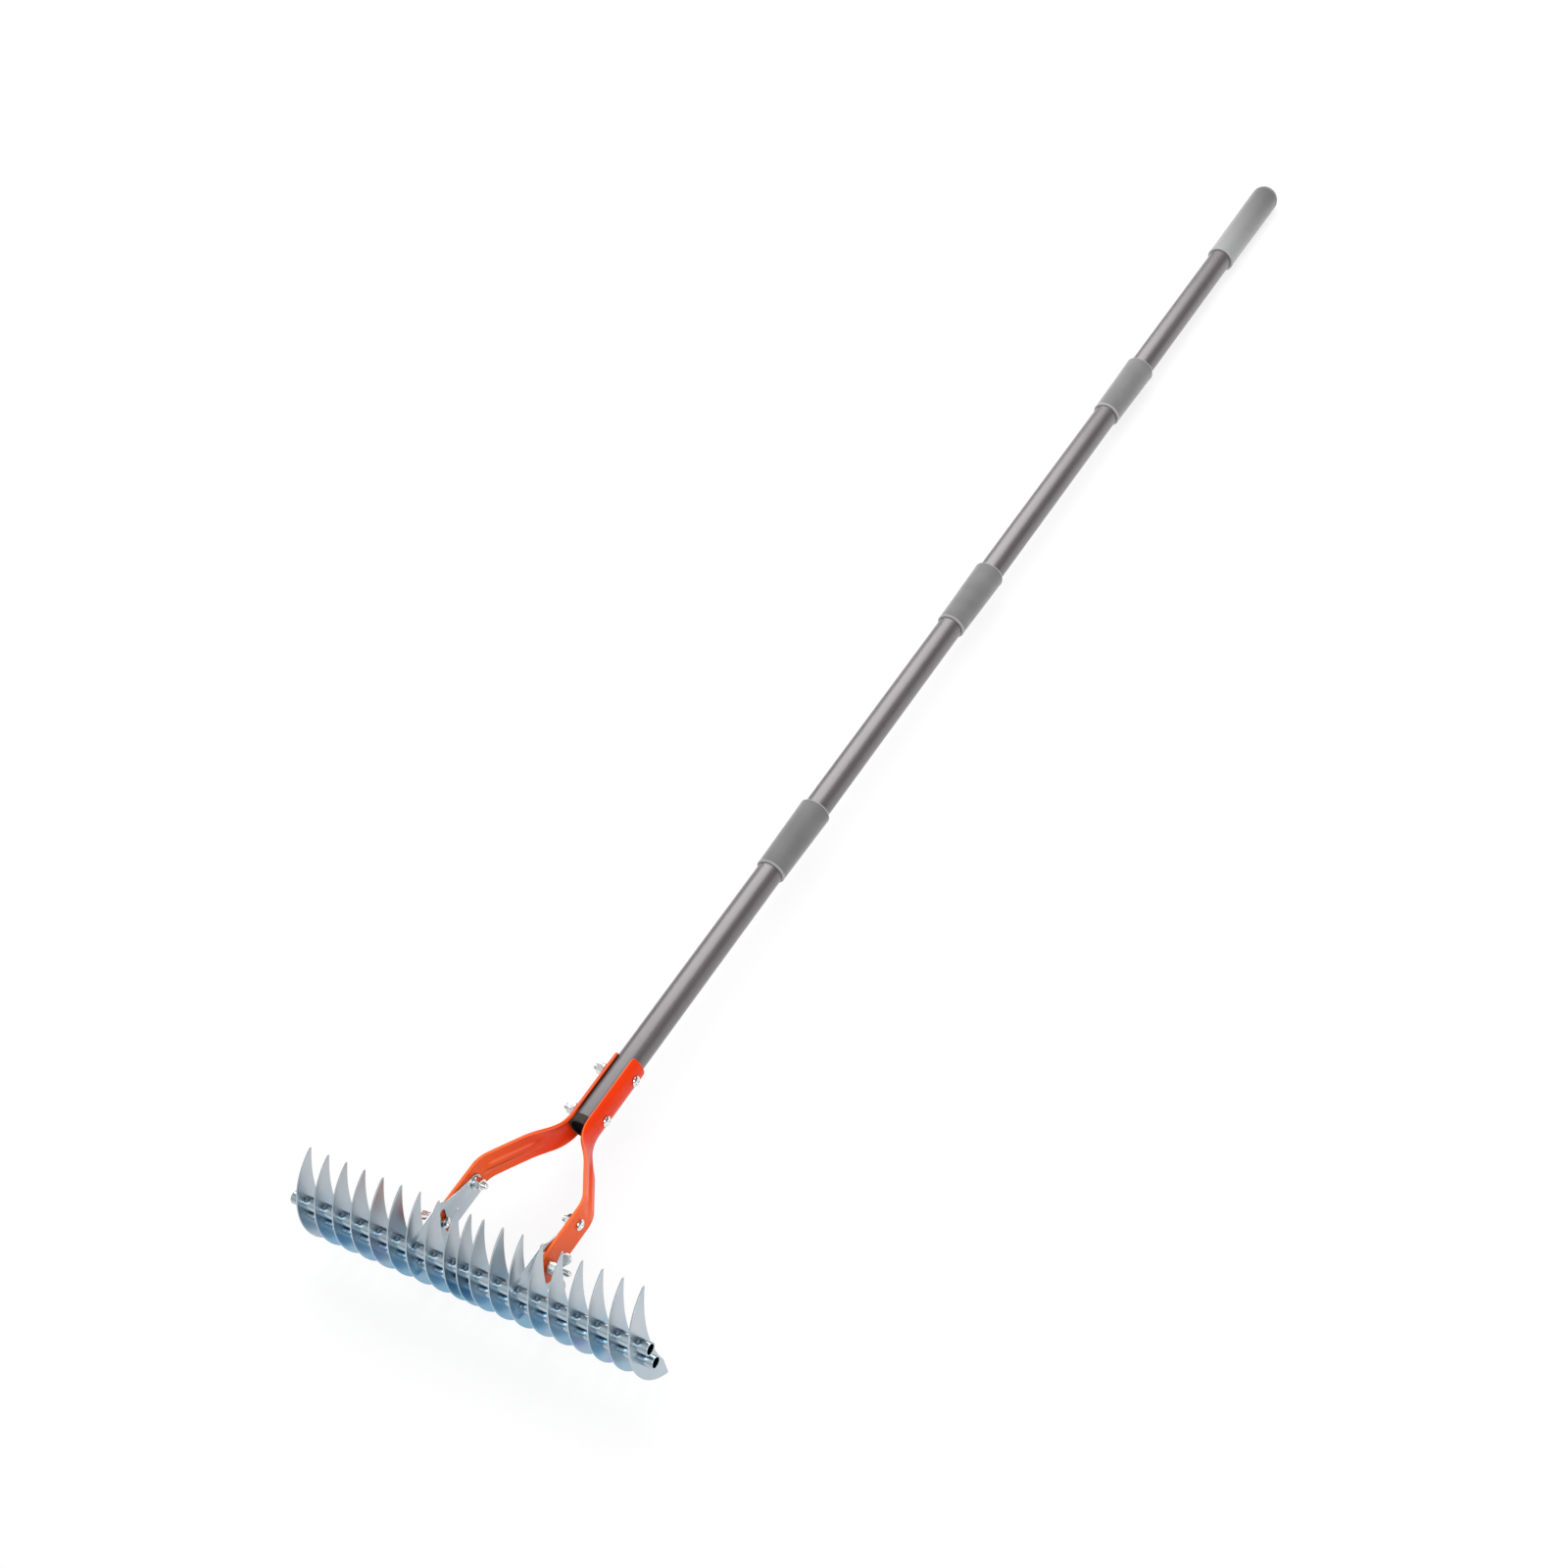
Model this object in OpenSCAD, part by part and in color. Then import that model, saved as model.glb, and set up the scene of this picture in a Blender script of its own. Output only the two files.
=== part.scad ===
// Thatch rake: a row of crescent blades on two crossbars, carried by a two-arm
// yoke that is clamped to a tube handle made of screwed sections.
// Lengths are in millimetres. In the tool's own layout X runs across the head,
// Y runs along the handle from the head to the grip and Z points up the claws,
// with Y = 0 at the face of the plug in the tube. The finished rake is laid down
// on its blade corners and its grip, with the claws up.

/* [Handle] */
// Outside diameter of the handle tube
handle_d = 25.4; // [22:0.1:30]
// Wall of the handle tube
handle_wall = 1.2; // [0.8:0.1:2]
// Length of each tube section but the last
section_len = 356; // [250:1:450]
// Length of the last tube section, which carries the grip
last_len = 372; // [250:1:450]
// Length of the plug's rim below the tube
plug_rim = 8; // [5:0.5:12]
// Depth of the dish in the plug's face
plug_dish = 3; // [1:0.5:4]
// Wall round the plug's dish
plug_wall = 2.6; // [1.5:0.1:4]

/* [Section joints] */
// Length of a joint sleeve
sleeve_len = 84; // [60:1:140]
// Outside diameter of a sleeve at its lower end
sleeve_d_low = 29.6; // [28:0.1:34]
// Outside diameter of a sleeve at its upper end
sleeve_d_high = 32; // [30:0.1:38]
// Width of the bevelled lip at each end of a sleeve
sleeve_lip = 1.2; // [0.4:0.1:1.4]
// Length of a threaded insert inside its tube
insert_len = 40; // [25:1:60]
// Diameter of the screw stud between two sections
stud_d = 14; // [8:0.5:18]
// Length of the screw stud
stud_len = 26; // [12:1:38]

/* [Grip] */
// Outside diameter of the grip
grip_d = 31.4; // [29:0.1:36]
// Length of the grip that covers the tube
grip_cover = 118; // [80:1:160]
// Thickness of the grip's domed end past the tube
grip_end = 20; // [17:0.5:26]

/* [Yoke arms] */
// Width of the strap that an arm is made of
strap_w = 30; // [26:0.5:34]
// Thickness of the strap
strap_t = 3; // [2:0.1:4]
// Length of the part that is rolled round the tube
clamp_len = 71; // [66:0.5:95]
// Height of the rolled part's lower end above the plug's face
bend_start = 6.5; // [4:0.5:12]
// Corner radius of the strap's upper end
clamp_corner = 3; // [1:0.5:8]
// Radius of the upper bend, at the middle of the strap
bend_r_top = 45; // [25:1:50]
// Radius of the lower bend, at the middle of the strap
bend_r_low = 28; // [20:1:40]
// Length over which the rolled strap opens out to flat
open_len = 48; // [30:1:70]
// Rise of the arm's lower end above the handle's axis
arm_raise = 3.5; // [0:0.5:6]
// Length of the arm past the slot bolt
arm_tail = 11; // [10:0.5:14]
// Corner radius of the arm's lower end
arm_corner = 7; // [3:0.5:10]
// Depth of the pressed rib along the splayed part
rib_depth = 2.4; // [0.5:0.1:4]
// Width of the pressed rib
rib_w = 13; // [8:0.5:18]
// Length over which the rib rises and falls
rib_fade = 18; // [10:1:24]

/* [Blades] */
// Gap between blades
blade_gap = 20; // [16:0.5:24]
// Smaller gap on each side of the middle blade
centre_gap = 13.5; // [10:0.5:20]
// Thickness of a blade
blade_t = 1.5; // [1:0.1:2.4]
// Distance from the plug's face to the centre of the back arc
head_reach = 121.5; // [118:0.5:125]
// Height of the back arc's centre above the handle's axis
blade_rise = 0.7; // [-2:0.1:4]
// Radius of the convex back edge
back_r = 60.5; // [58:0.5:64]
// Radius of the hollow edge
hollow_r = 114.5; // [108:0.5:120]
// Width of a blade at its middle, between the two edges
blade_waist = 27; // [25:0.5:30]
// Distance from the back arc's centre to the cut-off lower corner
corner_reach = 27.7; // [24:0.1:31]

/* [Crossbars] */
// Outside diameter of a crossbar tube
crossbar_d = 12; // [9:0.1:13]
// Wall of a crossbar tube
crossbar_wall = 1; // [0.6:0.1:1.5]
// Distance between the two crossbars
crossbar_pitch = 19.3; // [16:0.1:24]
// Height of the point midway between the crossbars above the back arc's centre
crossbar_rise = 4.6; // [0:0.1:8]
// Distance from the back edge to the crossbars' axes
crossbar_inset = 14; // [10:0.1:16]
// Length of a crossbar past the outermost blade
crossbar_overhang = 13; // [6:0.5:30]

/* [Bracket plates] */
// Distance from the plug's face to the pivot bolts
pivot_reach = 85.5; // [82:0.5:90]
// Distance from the arms' lower bend to the pivot bolts
pivot_room = 7.1; // [6.5:0.1:9]
// Distance from the slot bolts to the blades' hollow edge, clear of a wing nut's swing
nut_room = 24.5; // [20:0.5:28]
// Angle of the slot on each side of its bolt
slot_half = 15; // [8:0.5:17]
// Metal between the slot and the plate's edge
slot_edge = 9; // [6:0.5:10]
// Height of the plate's neck above its pivot
plate_neck = 16; // [13:0.5:18]
// Depth of the plate below its pivot
plate_drop = 14.5; // [12:0.5:16]
// Radius of the plate's rounded end
plate_end_r = 7.5; // [7:0.5:8]

/* [Fasteners] */
// Diameter of the bolts
bolt_d = 6; // [5:0.5:7]
// Diameter of a bolt's head
head_d = 10; // [9:0.5:13]
// Height of a bolt's head
head_h = 3.4; // [3:0.1:5]
// Radius of the dome on a bolt's head
head_dome = 6.5; // [6:0.1:12]
// Length of bolt that stands out past a plain nut
bolt_stub = 4.5; // [2:0.5:8]
// Length of a slot bolt that stands out past its wing nut once that is backed off
slot_stub = 8; // [2:0.5:10]
// Length that a wing nut can be backed off along its bolt
nut_travel = 3; // [1:0.5:6]
// Distance from the rolled part's lower end to the lower clamp bolt
clamp_foot = 9.8; // [7:0.1:14]
// Distance from the strap's upper end to the upper clamp bolt
clamp_margin = 14; // [8:0.5:18]
// Diameter of a washer
washer_d = 12; // [10:0.5:14]
// Thickness of a washer
washer_t = 1.6; // [1:0.1:2]
// Width over the flats of a plain nut
hex_flats = 10; // [8:0.5:12]
// Height of a plain nut
hex_h = 6; // [4:0.5:7]
// Diameter of a wing nut at its seat
nut_base = 13; // [11:0.5:14]
// Diameter of a wing nut's body at its top
nut_top = 10; // [9:0.5:11]
// Height of a wing nut's body
nut_body = 8; // [6:0.5:9]
// Distance over the two wings
nut_span = 33; // [28:0.5:36]
// Height of a wing nut over its wings
nut_height = 17; // [15:0.5:20]
// Radius of a wing's rounded ear
ear_r = 4.8; // [3.5:0.1:5.5]
// Thickness of a wing
wing_t = 2.5; // [1.5:0.1:3]

/* [Fits] */
// Play round the pivot bolts in the bracket plates
pivot_play = 0.1; // [0.05:0.01:0.3]
// Play round the bolts in the arms and the tube
hole_play = 0.2; // [0.1:0.05:0.5]
// Play on each side of the slot bolts
slot_play = 0.25; // [0.1:0.05:0.5]
// Play between a nut's thread and its bolt
thread_play = 0.08; // [0.05:0.01:0.2]
// Gap between faces that slide or turn on each other
slide_gap = 0.2; // [0.1:0.05:0.5]
// Gap between the rolled strap and the tube
clamp_gap = 0.2; // [0.1:0.05:0.5]
// Gap round inserts, plug and sleeves on the tubes
tube_play = 0.06; // [0.02:0.01:0.2]
// Play between a blade's hole and its crossbar
bar_play = 0.05; // [0.02:0.01:0.2]

/* [Hidden] */
$fn = 72;
// Small step that carries a cut past a face
past = 1;

// Blades are counted from the middle one, from -9 on the left to 9 on the right
side_blades = 9;
bracket_steps = 3;
function blade_x(place) = place == 0 ? 0
    : sign(place) * (centre_gap + (abs(place) - 1) * blade_gap);
function two_digits(n) = n < 10 ? str("0", n) : str(n);
function blade_name(place) = place == -bracket_steps ? "left_bracket_blade"
    : place == bracket_steps ? "right_bracket_blade"
    : str("blade_", two_digits(place + side_blades + 1));
blade_places = [-side_blades : side_blades];
hollow_edge = back_r - blade_waist;
hollow_shift = hollow_r - hollow_edge;

// Crossbars, as distances from the back arc's centre
crossbar_half = blade_x(side_blades) + crossbar_overhang;
crossbar_back = -(back_r - crossbar_inset);
function crossbar_up(bar) = crossbar_rise + (bar == "upper" ? 1 : -1) * crossbar_pitch / 2;

// Handle
handle_r = handle_d / 2;
tube_bore_r = handle_r - handle_wall;
section_count = 4;
function section_start(n) = plug_rim + (n - 1) * section_len;
tube_top = section_start(section_count) + last_len;
grip_r = grip_d / 2;
dome_y = tube_top + grip_end - grip_r;

// Faces across the yoke, as distances from the middle plane
bracket_x = blade_x(bracket_steps);
plate_inner = bracket_x - blade_t / 2;
arm_inner = bracket_x + blade_t / 2 + slide_gap;
arm_outer = arm_inner + strap_t;
clamp_mid_r = handle_r + clamp_gap + strap_t / 2;
clamp_outer = clamp_mid_r + strap_t / 2;
clamp_low = bend_start + clamp_foot;
clamp_high = bend_start + clamp_len - clamp_margin;
slot_w = bolt_d + 2 * slot_play;
slot_reach = head_reach + hollow_edge - nut_room - pivot_reach;
slot_bolt_y = -pivot_reach - slot_reach;

// Fasteners: name, place along Y and Z, face under the head, face under the washer,
// and the turn of the nut. A bolt runs along X from its head to its washer and nut.
fasteners = [
    ["upper_clamp", clamp_high, 0, clamp_outer, -clamp_outer, 10],
    ["lower_clamp", clamp_low, 0, clamp_outer, -clamp_outer, 25],
    ["left_pivot", -pivot_reach, arm_raise, -arm_outer, -plate_inner + slide_gap, 15],
    ["right_pivot", -pivot_reach, arm_raise, arm_outer, plate_inner - slide_gap, 0],
    ["left_slot", slot_bolt_y, arm_raise, -plate_inner + slide_gap, -arm_outer - slide_gap, 135],
    ["right_slot", slot_bolt_y, arm_raise, plate_inner - slide_gap, arm_outer + slide_gap, 136]
];
clamp_pair = [fasteners[0], fasteners[1]];
hex_nuts = [for (i = [0 : 3]) fasteners[i]];
wing_nuts = [for (i = [4 : 5]) fasteners[i]];
function has_wings(f) = f[1] == slot_bolt_y;
function way(f) = sign(f[4] - f[3]);
function nut_seat(f) = f[4] + way(f) * (washer_t + (has_wings(f) ? slide_gap : 0));
function bolt_len(f) = abs(nut_seat(f) - f[3])
    + (has_wings(f) ? nut_body + nut_travel + slot_stub : hex_h + bolt_stub);

// Laying down: the line under the blade corners and the grip's dome becomes level
corner_y = -head_reach - corner_reach;
corner_z = blade_rise - sqrt(back_r * back_r - corner_reach * corner_reach);
corner_to_dome = norm([dome_y - corner_y, corner_z]);
lie = asin(grip_r / corner_to_dome) - atan2(-corner_z, dome_y - corner_y);
function laid_y(y, z) = y * cos(lie) - z * sin(lie);
function laid_z(y, z) = y * sin(lie) + z * cos(lie);
back_end = laid_y(-head_reach, blade_rise) - back_r;
grip_tip = laid_y(dome_y, 0) + grip_r;
module laid() {
    translate([0, -(back_end + grip_tip) / 2, -laid_z(corner_y, corner_z)])
        rotate([lie, 0, 0])
            children();
}

// Shapes along the handle: local Z becomes the handle's axis, from Y = y upwards
module along_handle(y) {
    translate([0, y, 0])
        rotate([-90, 0, 0])
            children();
}

module handle_tube(n) {
    tube_len = n == section_count ? last_len : section_len;
    color("gray")
        difference() {
            along_handle(section_start(n))
                cylinder(h = tube_len, r = handle_r);
            along_handle(section_start(n) - past)
                cylinder(h = tube_len + 2 * past, r = tube_bore_r);
            if (n == 1)
                for (f = clamp_pair)
                    translate([0, f[1], f[2]])
                        rotate([0, 90, 0])
                            cylinder(h = 2 * handle_d, d = bolt_d + 2 * hole_play, center = true);
        }
}

// A slightly conical sleeve, with its wall bevelled to a thin lip at both ends
module joint_sleeve(n) {
    low_r = sleeve_d_low / 2;
    high_r = sleeve_d_high / 2;
    bore_r = handle_r + tube_play;
    color("darkgray")
        along_handle(section_start(n + 1) - sleeve_len / 2)
            rotate_extrude()
                polygon([
                    [bore_r, 0],
                    [low_r - sleeve_lip, 0],
                    [low_r, sleeve_lip],
                    [high_r, sleeve_len - sleeve_lip],
                    [high_r - sleeve_lip, sleeve_len],
                    [bore_r, sleeve_len]
                ]);
}

// The insert with the screw stud, fixed in the top of the lower section
module male_insert(n) {
    color("dimgray")
        along_handle(section_start(n + 1) - insert_len)
            union() {
                cylinder(h = insert_len, r = tube_bore_r - tube_play);
                cylinder(h = insert_len + stud_len, d = stud_d);
            }
}

// The insert that the stud screws into, fixed in the foot of the upper section
module female_insert(n) {
    color("dimgray")
        along_handle(section_start(n + 1))
            difference() {
                cylinder(h = insert_len, r = tube_bore_r - tube_play);
                translate([0, 0, -past])
                    cylinder(h = stud_len + past + slide_gap, d = stud_d + 2 * thread_play);
            }
}

// The plug stops just short of the lower clamp bolt
module end_plug() {
    spigot_end = clamp_low - bolt_d / 2 - hole_play;
    color("black")
        along_handle(0)
            difference() {
                union() {
                    cylinder(h = plug_rim, r = handle_r);
                    cylinder(h = spigot_end, r = tube_bore_r - tube_play);
                }
                translate([0, 0, -past])
                    cylinder(h = plug_dish + past, r = handle_r - plug_wall);
            }
}

// A cup over the end of the tube, with a domed end
module grip() {
    bore_r = handle_r + tube_play;
    color("darkgray")
        along_handle(tube_top - grip_cover)
            rotate_extrude()
                difference() {
                    union() {
                        square([grip_r, grip_cover + grip_end - grip_r]);
                        intersection() {
                            translate([0, grip_cover + grip_end - grip_r])
                                circle(grip_r);
                            square([grip_r, grip_cover + grip_end]);
                        }
                    }
                    translate([0, -past])
                        square([bore_r, grip_cover + past]);
                }
}

// Yoke arm: a strap swept along its bends. Its middle line has a place and a
// heading in plan for each length s from the upper end of the strap. It splays at
// the angle that brings its lower bend to an end just above the pivot bolts.
plan_shift = arm_inner + strap_t / 2 - clamp_mid_r;
flat_y = pivot_room - pivot_reach;
bends_r = bend_r_top + bend_r_low;
bends_spare = plan_shift - bends_r;
bends_drop = bend_start - flat_y;
splay_angle = asin(bends_r / norm([bends_drop, bends_spare])) + atan2(bends_spare, bends_drop);
splay_len = (plan_shift - bends_r * (1 - cos(splay_angle))) / sin(splay_angle);
top_bend_len = bend_r_top * splay_angle * PI / 180;
low_bend_len = bend_r_low * splay_angle * PI / 180;
splay_start = clamp_len + top_bend_len;
splay_end = splay_start + splay_len;
flat_start = splay_end + low_bend_len;
arm_len = flat_start + flat_y - slot_bolt_y + arm_tail;
corner_start = arm_len - arm_corner;
function heading(s) = s <= clamp_len ? 0
    : s < splay_start ? (s - clamp_len) / bend_r_top * 180 / PI
    : s <= splay_end ? splay_angle
    : s < flat_start ? splay_angle - (s - splay_end) / bend_r_low * 180 / PI
    : 0;
function plan_x(s) = clamp_mid_r + (s <= splay_start ? bend_r_top * (1 - cos(heading(s)))
    : s <= splay_end ? bend_r_top * (1 - cos(splay_angle)) + (s - splay_start) * sin(splay_angle)
    : plan_shift - bend_r_low * (1 - cos(heading(s))));
function plan_y(s) = s <= clamp_len ? bend_start + clamp_len - s
    : s <= splay_start ? bend_start - bend_r_top * sin(heading(s))
    : s <= splay_end ? bend_start - bend_r_top * sin(splay_angle) - (s - splay_start) * cos(splay_angle)
    : s <= flat_start ? flat_y + bend_r_low * sin(heading(s))
    : flat_y - (s - flat_start);

// Smooth step from 0 at a to 1 at b
function ease(s, a, b) = let (u = min(1, max(0, (s - a) / (b - a)))) u * u * (3 - 2 * u);
function rise_at(s) = arm_raise * ease(s, clamp_len, flat_start);
function roll_at(s) = (1 - ease(s, clamp_len, clamp_len + open_len)) / clamp_mid_r;
function rib_at(s) = rib_depth * ease(s, splay_start, splay_start + rib_fade)
    * (1 - ease(s, flat_start - rib_fade, flat_start));
// Half width of the strap, drawn in round the corners of both ends
function drawn_in(past_start, r) = let (d = max(0, past_start)) r - sqrt(max(0, r * r - d * d));
function half_width(s) = strap_w / 2 - drawn_in(clamp_corner - s, clamp_corner)
    - drawn_in(s - corner_start, arm_corner);

// Cross-section at s: the strap is rolled to a curve, which opens out to flat
across_steps = 14;
function swell(v) = abs(v) < rib_w / 2 ? (1 + cos(360 * v / rib_w)) / 2 : 0;
function section_point(s, v, side) = let (
        roll = roll_at(s),
        turn = roll * v * 180 / PI,
        out = (roll > 0 ? (cos(turn) - 1) / roll : 0) - rib_at(s) * swell(v)
            + side * strap_t / 2 * cos(turn),
        up = (roll > 0 ? sin(turn) / roll : v) + side * strap_t / 2 * sin(turn),
        a = heading(s)
    ) [plan_x(s) + out * cos(a), plan_y(s) + out * sin(a), rise_at(s) + up];
function across(s, side) = [for (i = [0 : across_steps])
    section_point(s, half_width(s) * (2 * i / across_steps - 1), side)];
function ring(s) = concat(across(s, 1),
    [for (i = [0 : across_steps]) across(s, -1)[across_steps - i]]);

top_bend_steps = 9;
splay_steps = 9;
low_bend_steps = 8;
corner_steps = 7;
stations = concat(
    [for (i = [0 : corner_steps]) clamp_corner * (1 - cos(90 * i / corner_steps))],
    [for (i = [0 : top_bend_steps]) clamp_len + top_bend_len * i / top_bend_steps],
    [for (i = [1 : splay_steps]) splay_start + splay_len * i / splay_steps],
    [for (i = [1 : low_bend_steps]) splay_end + low_bend_len * i / low_bend_steps],
    [for (i = [0 : corner_steps - 1]) corner_start + arm_corner * sin(90 * i / corner_steps)],
    [arm_len]
);

module strap() {
    around = 2 * (across_steps + 1);
    last = (len(stations) - 1) * around;
    points = [for (s = stations) each ring(s)];
    walls = [for (j = [0 : len(stations) - 2], i = [0 : around - 1])
        let (a = j * around + i, b = j * around + (i + 1) % around)
        each [[a, b, b + around], [a, b + around, a + around]]];
    top_cap = [for (i = [0 : across_steps - 1]) let (a = i, b = around - 1 - i)
        each [[a, b, b - 1], [a, b - 1, a + 1]]];
    low_cap = [for (i = [0 : across_steps - 1]) let (a = last + i, b = last + around - 1 - i)
        each [[a, b - 1, b], [a, a + 1, b - 1]]];
    polyhedron(points, concat(walls, top_cap, low_cap));
}

module arm(side) {
    hole_d = bolt_d + 2 * hole_play;
    reach = arm_outer + clamp_outer;
    color("orangered")
        mirror([side == "left" ? 1 : 0, 0, 0])
            difference() {
                strap();
                for (f = fasteners)
                    translate([reach / 2, f[1], f[2]])
                        rotate([0, 90, 0])
                            cylinder(h = reach + 4 * strap_t, d = hole_d, center = true);
            }
}

// Places a shape on a fastener: local Z runs along the bolt, from face x onwards
module on_fastener(f, x) {
    translate([x, f[1], f[2]])
        rotate([0, 90 * way(f), 0])
            children();
}

// Pan head with a cross recess, on a plain shank with a tapered end
module bolt(f) {
    recess_w = head_h * 0.3;
    taper = bolt_d / 8;
    color("lightgray")
        on_fastener(f, f[3])
            difference() {
                union() {
                    rotate_extrude()
                        intersection() {
                            translate([0, -head_h])
                                square([head_d / 2, head_h]);
                            translate([0, head_dome - head_h])
                                circle(head_dome);
                        }
                    cylinder(h = bolt_len(f) - taper, d = bolt_d);
                    translate([0, 0, bolt_len(f) - taper])
                        cylinder(h = taper, d1 = bolt_d, d2 = bolt_d - 2 * taper);
                }
                for (turn = [0, 90])
                    rotate(turn)
                        translate([0, 0, -head_h])
                            cube([head_d / 2, recess_w, head_h], center = true);
            }
}

module washer(f) {
    color("silver")
        on_fastener(f, f[4])
            difference() {
                cylinder(h = washer_t, d = washer_d);
                translate([0, 0, -past])
                    cylinder(h = washer_t + 2 * past, d = bolt_d + 2 * hole_play);
            }
}

// Outline of one wing: a web that leaves the body and ends in a round ear
module wing_outline() {
    seat = nut_body / 8;
    ear = [nut_span / 2 - ear_r, nut_height - ear_r];
    lean = atan2(ear[1] - nut_body / 2, ear[0]);
    edge = ear_r * [sin(lean), -cos(lean)];
    translate(ear)
        circle(ear_r);
    polygon([[0, seat], [nut_base / 2 - seat, seat], ear + edge, ear - edge, [0, nut_body - seat / 2]]);
}

module hex_nut(f) {
    color("lightgray")
        on_fastener(f, nut_seat(f))
            difference() {
                rotate(f[5])
                    cylinder(h = hex_h, d = hex_flats / cos(30), $fn = 6);
                translate([0, 0, -past])
                    cylinder(h = hex_h + 2 * past, d = bolt_d + 2 * thread_play);
            }
}

module wing_nut(f) {
    color("lightgray")
        on_fastener(f, nut_seat(f))
            difference() {
                union() {
                    cylinder(h = nut_body, d1 = nut_base, d2 = nut_top);
                    for (turn = [0, 180])
                        rotate(f[5] + turn)
                            rotate([90, 0, 0])
                                linear_extrude(wing_t, center = true)
                                    wing_outline();
                }
                translate([0, 0, -past])
                    cylinder(h = nut_height + 2 * past, d = bolt_d + 2 * thread_play);
            }
}

// Shapes in the head's side view: local X runs towards the handle, local Y up the
// claws, from the back arc's centre, and the sheet is centred on X = x
module in_side_view(x, t) {
    translate([x, -head_reach, blade_rise])
        rotate([90, 0, 90])
            linear_extrude(t, center = true)
                children();
}

module crossbar_holes() {
    for (bar = ["upper", "lower"])
        translate([crossbar_back, crossbar_up(bar)])
            circle(crossbar_d / 2 + bar_play);
}

// A crescent between two arcs: a long claw above, and a lower tip that is cut off
module crescent() {
    difference() {
        circle(back_r);
        translate([hollow_shift, 0])
            circle(hollow_r);
        translate([-corner_reach, -2 * back_r])
            square(2 * back_r);
    }
}

// The arm of a bracket plate, from inside the crescent to its rounded end
pivot_at = [head_reach - pivot_reach, arm_raise - blade_rise];
module plate_arm() {
    neck_x = slot_reach - slot_edge - slot_w / 2;
    hump_x = slot_reach * cos(slot_half);
    hump_up = slot_reach * sin(slot_half) + slot_w / 2 + slot_edge;
    root_x = head_reach - pivot_reach - crossbar_back - crossbar_d;
    foot = [0, plate_end_r - plate_drop];
    translate(pivot_at)
        polygon(concat(
            [for (a = [90 : -15 : 0]) plate_end_r * [cos(a), sin(a)]],
            [for (a = [0 : -15 : -90]) foot + plate_end_r * [cos(a), sin(a)]],
            [
                [-neck_x, -plate_drop],
                [-hump_x, -hump_up + slot_edge / 3],
                [-root_x, -hump_up - slot_edge],
                [-root_x, hump_up],
                [-hump_x, hump_up],
                [-neck_x, plate_neck]
            ]
        ));
}

// An arc about the pivot, with a round end on each side
function slot_arc(r, a) = r * [-cos(a), sin(a)];
module adjusting_slot() {
    half_w = slot_w / 2;
    bow = [for (i = [-5 : 5]) slot_half * i / 5];
    ends = [for (a = [20 : 20 : 160]) a];
    translate(pivot_at)
        polygon(concat(
            [for (a = bow) slot_arc(slot_reach + half_w, a)],
            [for (e = ends) slot_arc(slot_reach, slot_half) + slot_arc(half_w, slot_half + e)],
            [for (a = bow) slot_arc(slot_reach - half_w, -a)],
            [for (e = ends) slot_arc(slot_reach, -slot_half) + slot_arc(half_w, 180 - slot_half + e)]
        ));
}

module plain_blade(x) {
    color("silver")
        in_side_view(x, blade_t)
            difference() {
                crescent();
                crossbar_holes();
            }
}

module bracket_blade(x) {
    color("silver")
        difference() {
            union() {
                in_side_view(x, blade_t)
                    crescent();
                in_side_view(x, blade_t)
                    plate_arm();
            }
            in_side_view(x, blade_t + 2 * past)
                crossbar_holes();
            in_side_view(x, blade_t + 2 * past)
                translate(pivot_at)
                    circle(bolt_d / 2 + pivot_play);
            in_side_view(x, blade_t + 2 * past)
                adjusting_slot();
        }
}

module blade(place) {
    if (abs(place) == bracket_steps)
        bracket_blade(blade_x(place));
    else
        plain_blade(blade_x(place));
}

module crossbar(bar) {
    color("silver")
        translate([0, crossbar_back - head_reach, blade_rise + crossbar_up(bar)])
            rotate([0, 90, 0])
                difference() {
                    cylinder(h = 2 * crossbar_half, d = crossbar_d, center = true);
                    cylinder(h = 2 * crossbar_half + 2 * past, d = crossbar_d - 2 * crossbar_wall,
                        center = true);
                }
}

for (n = [1 : section_count])
    laid() handle_tube(n);
for (n = [1 : section_count - 1]) {
    laid() joint_sleeve(n);
    laid() male_insert(n);
    laid() female_insert(n);
}
laid() end_plug();
laid() grip();
laid() arm("left");  // left_arm
laid() arm("right");  // right_arm
for (f = fasteners) {
    laid() bolt(f);
    laid() washer(f);
}
for (f = hex_nuts)
    laid() hex_nut(f);
for (f = wing_nuts)
    laid() wing_nut(f);
laid() crossbar("upper");  // upper_crossbar
laid() crossbar("lower");  // lower_crossbar
for (place = blade_places)
    laid() blade(place);
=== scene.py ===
# %% [markdown]
# # A thatch rake, dressed in Blender
# The rake is a row of zinc crescent blades on two crossbars, hung between the arms of a red yoke that is
# bolted to a long grey tube handle. The solids of the part are already in one shared frame. This lesson puts
# detailed surfaces in their place: every surface is a numpy grid, so its shape can be read as a formula.

import bmesh
import bpy
import numpy as np
from mathutils import Matrix, Vector


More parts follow.
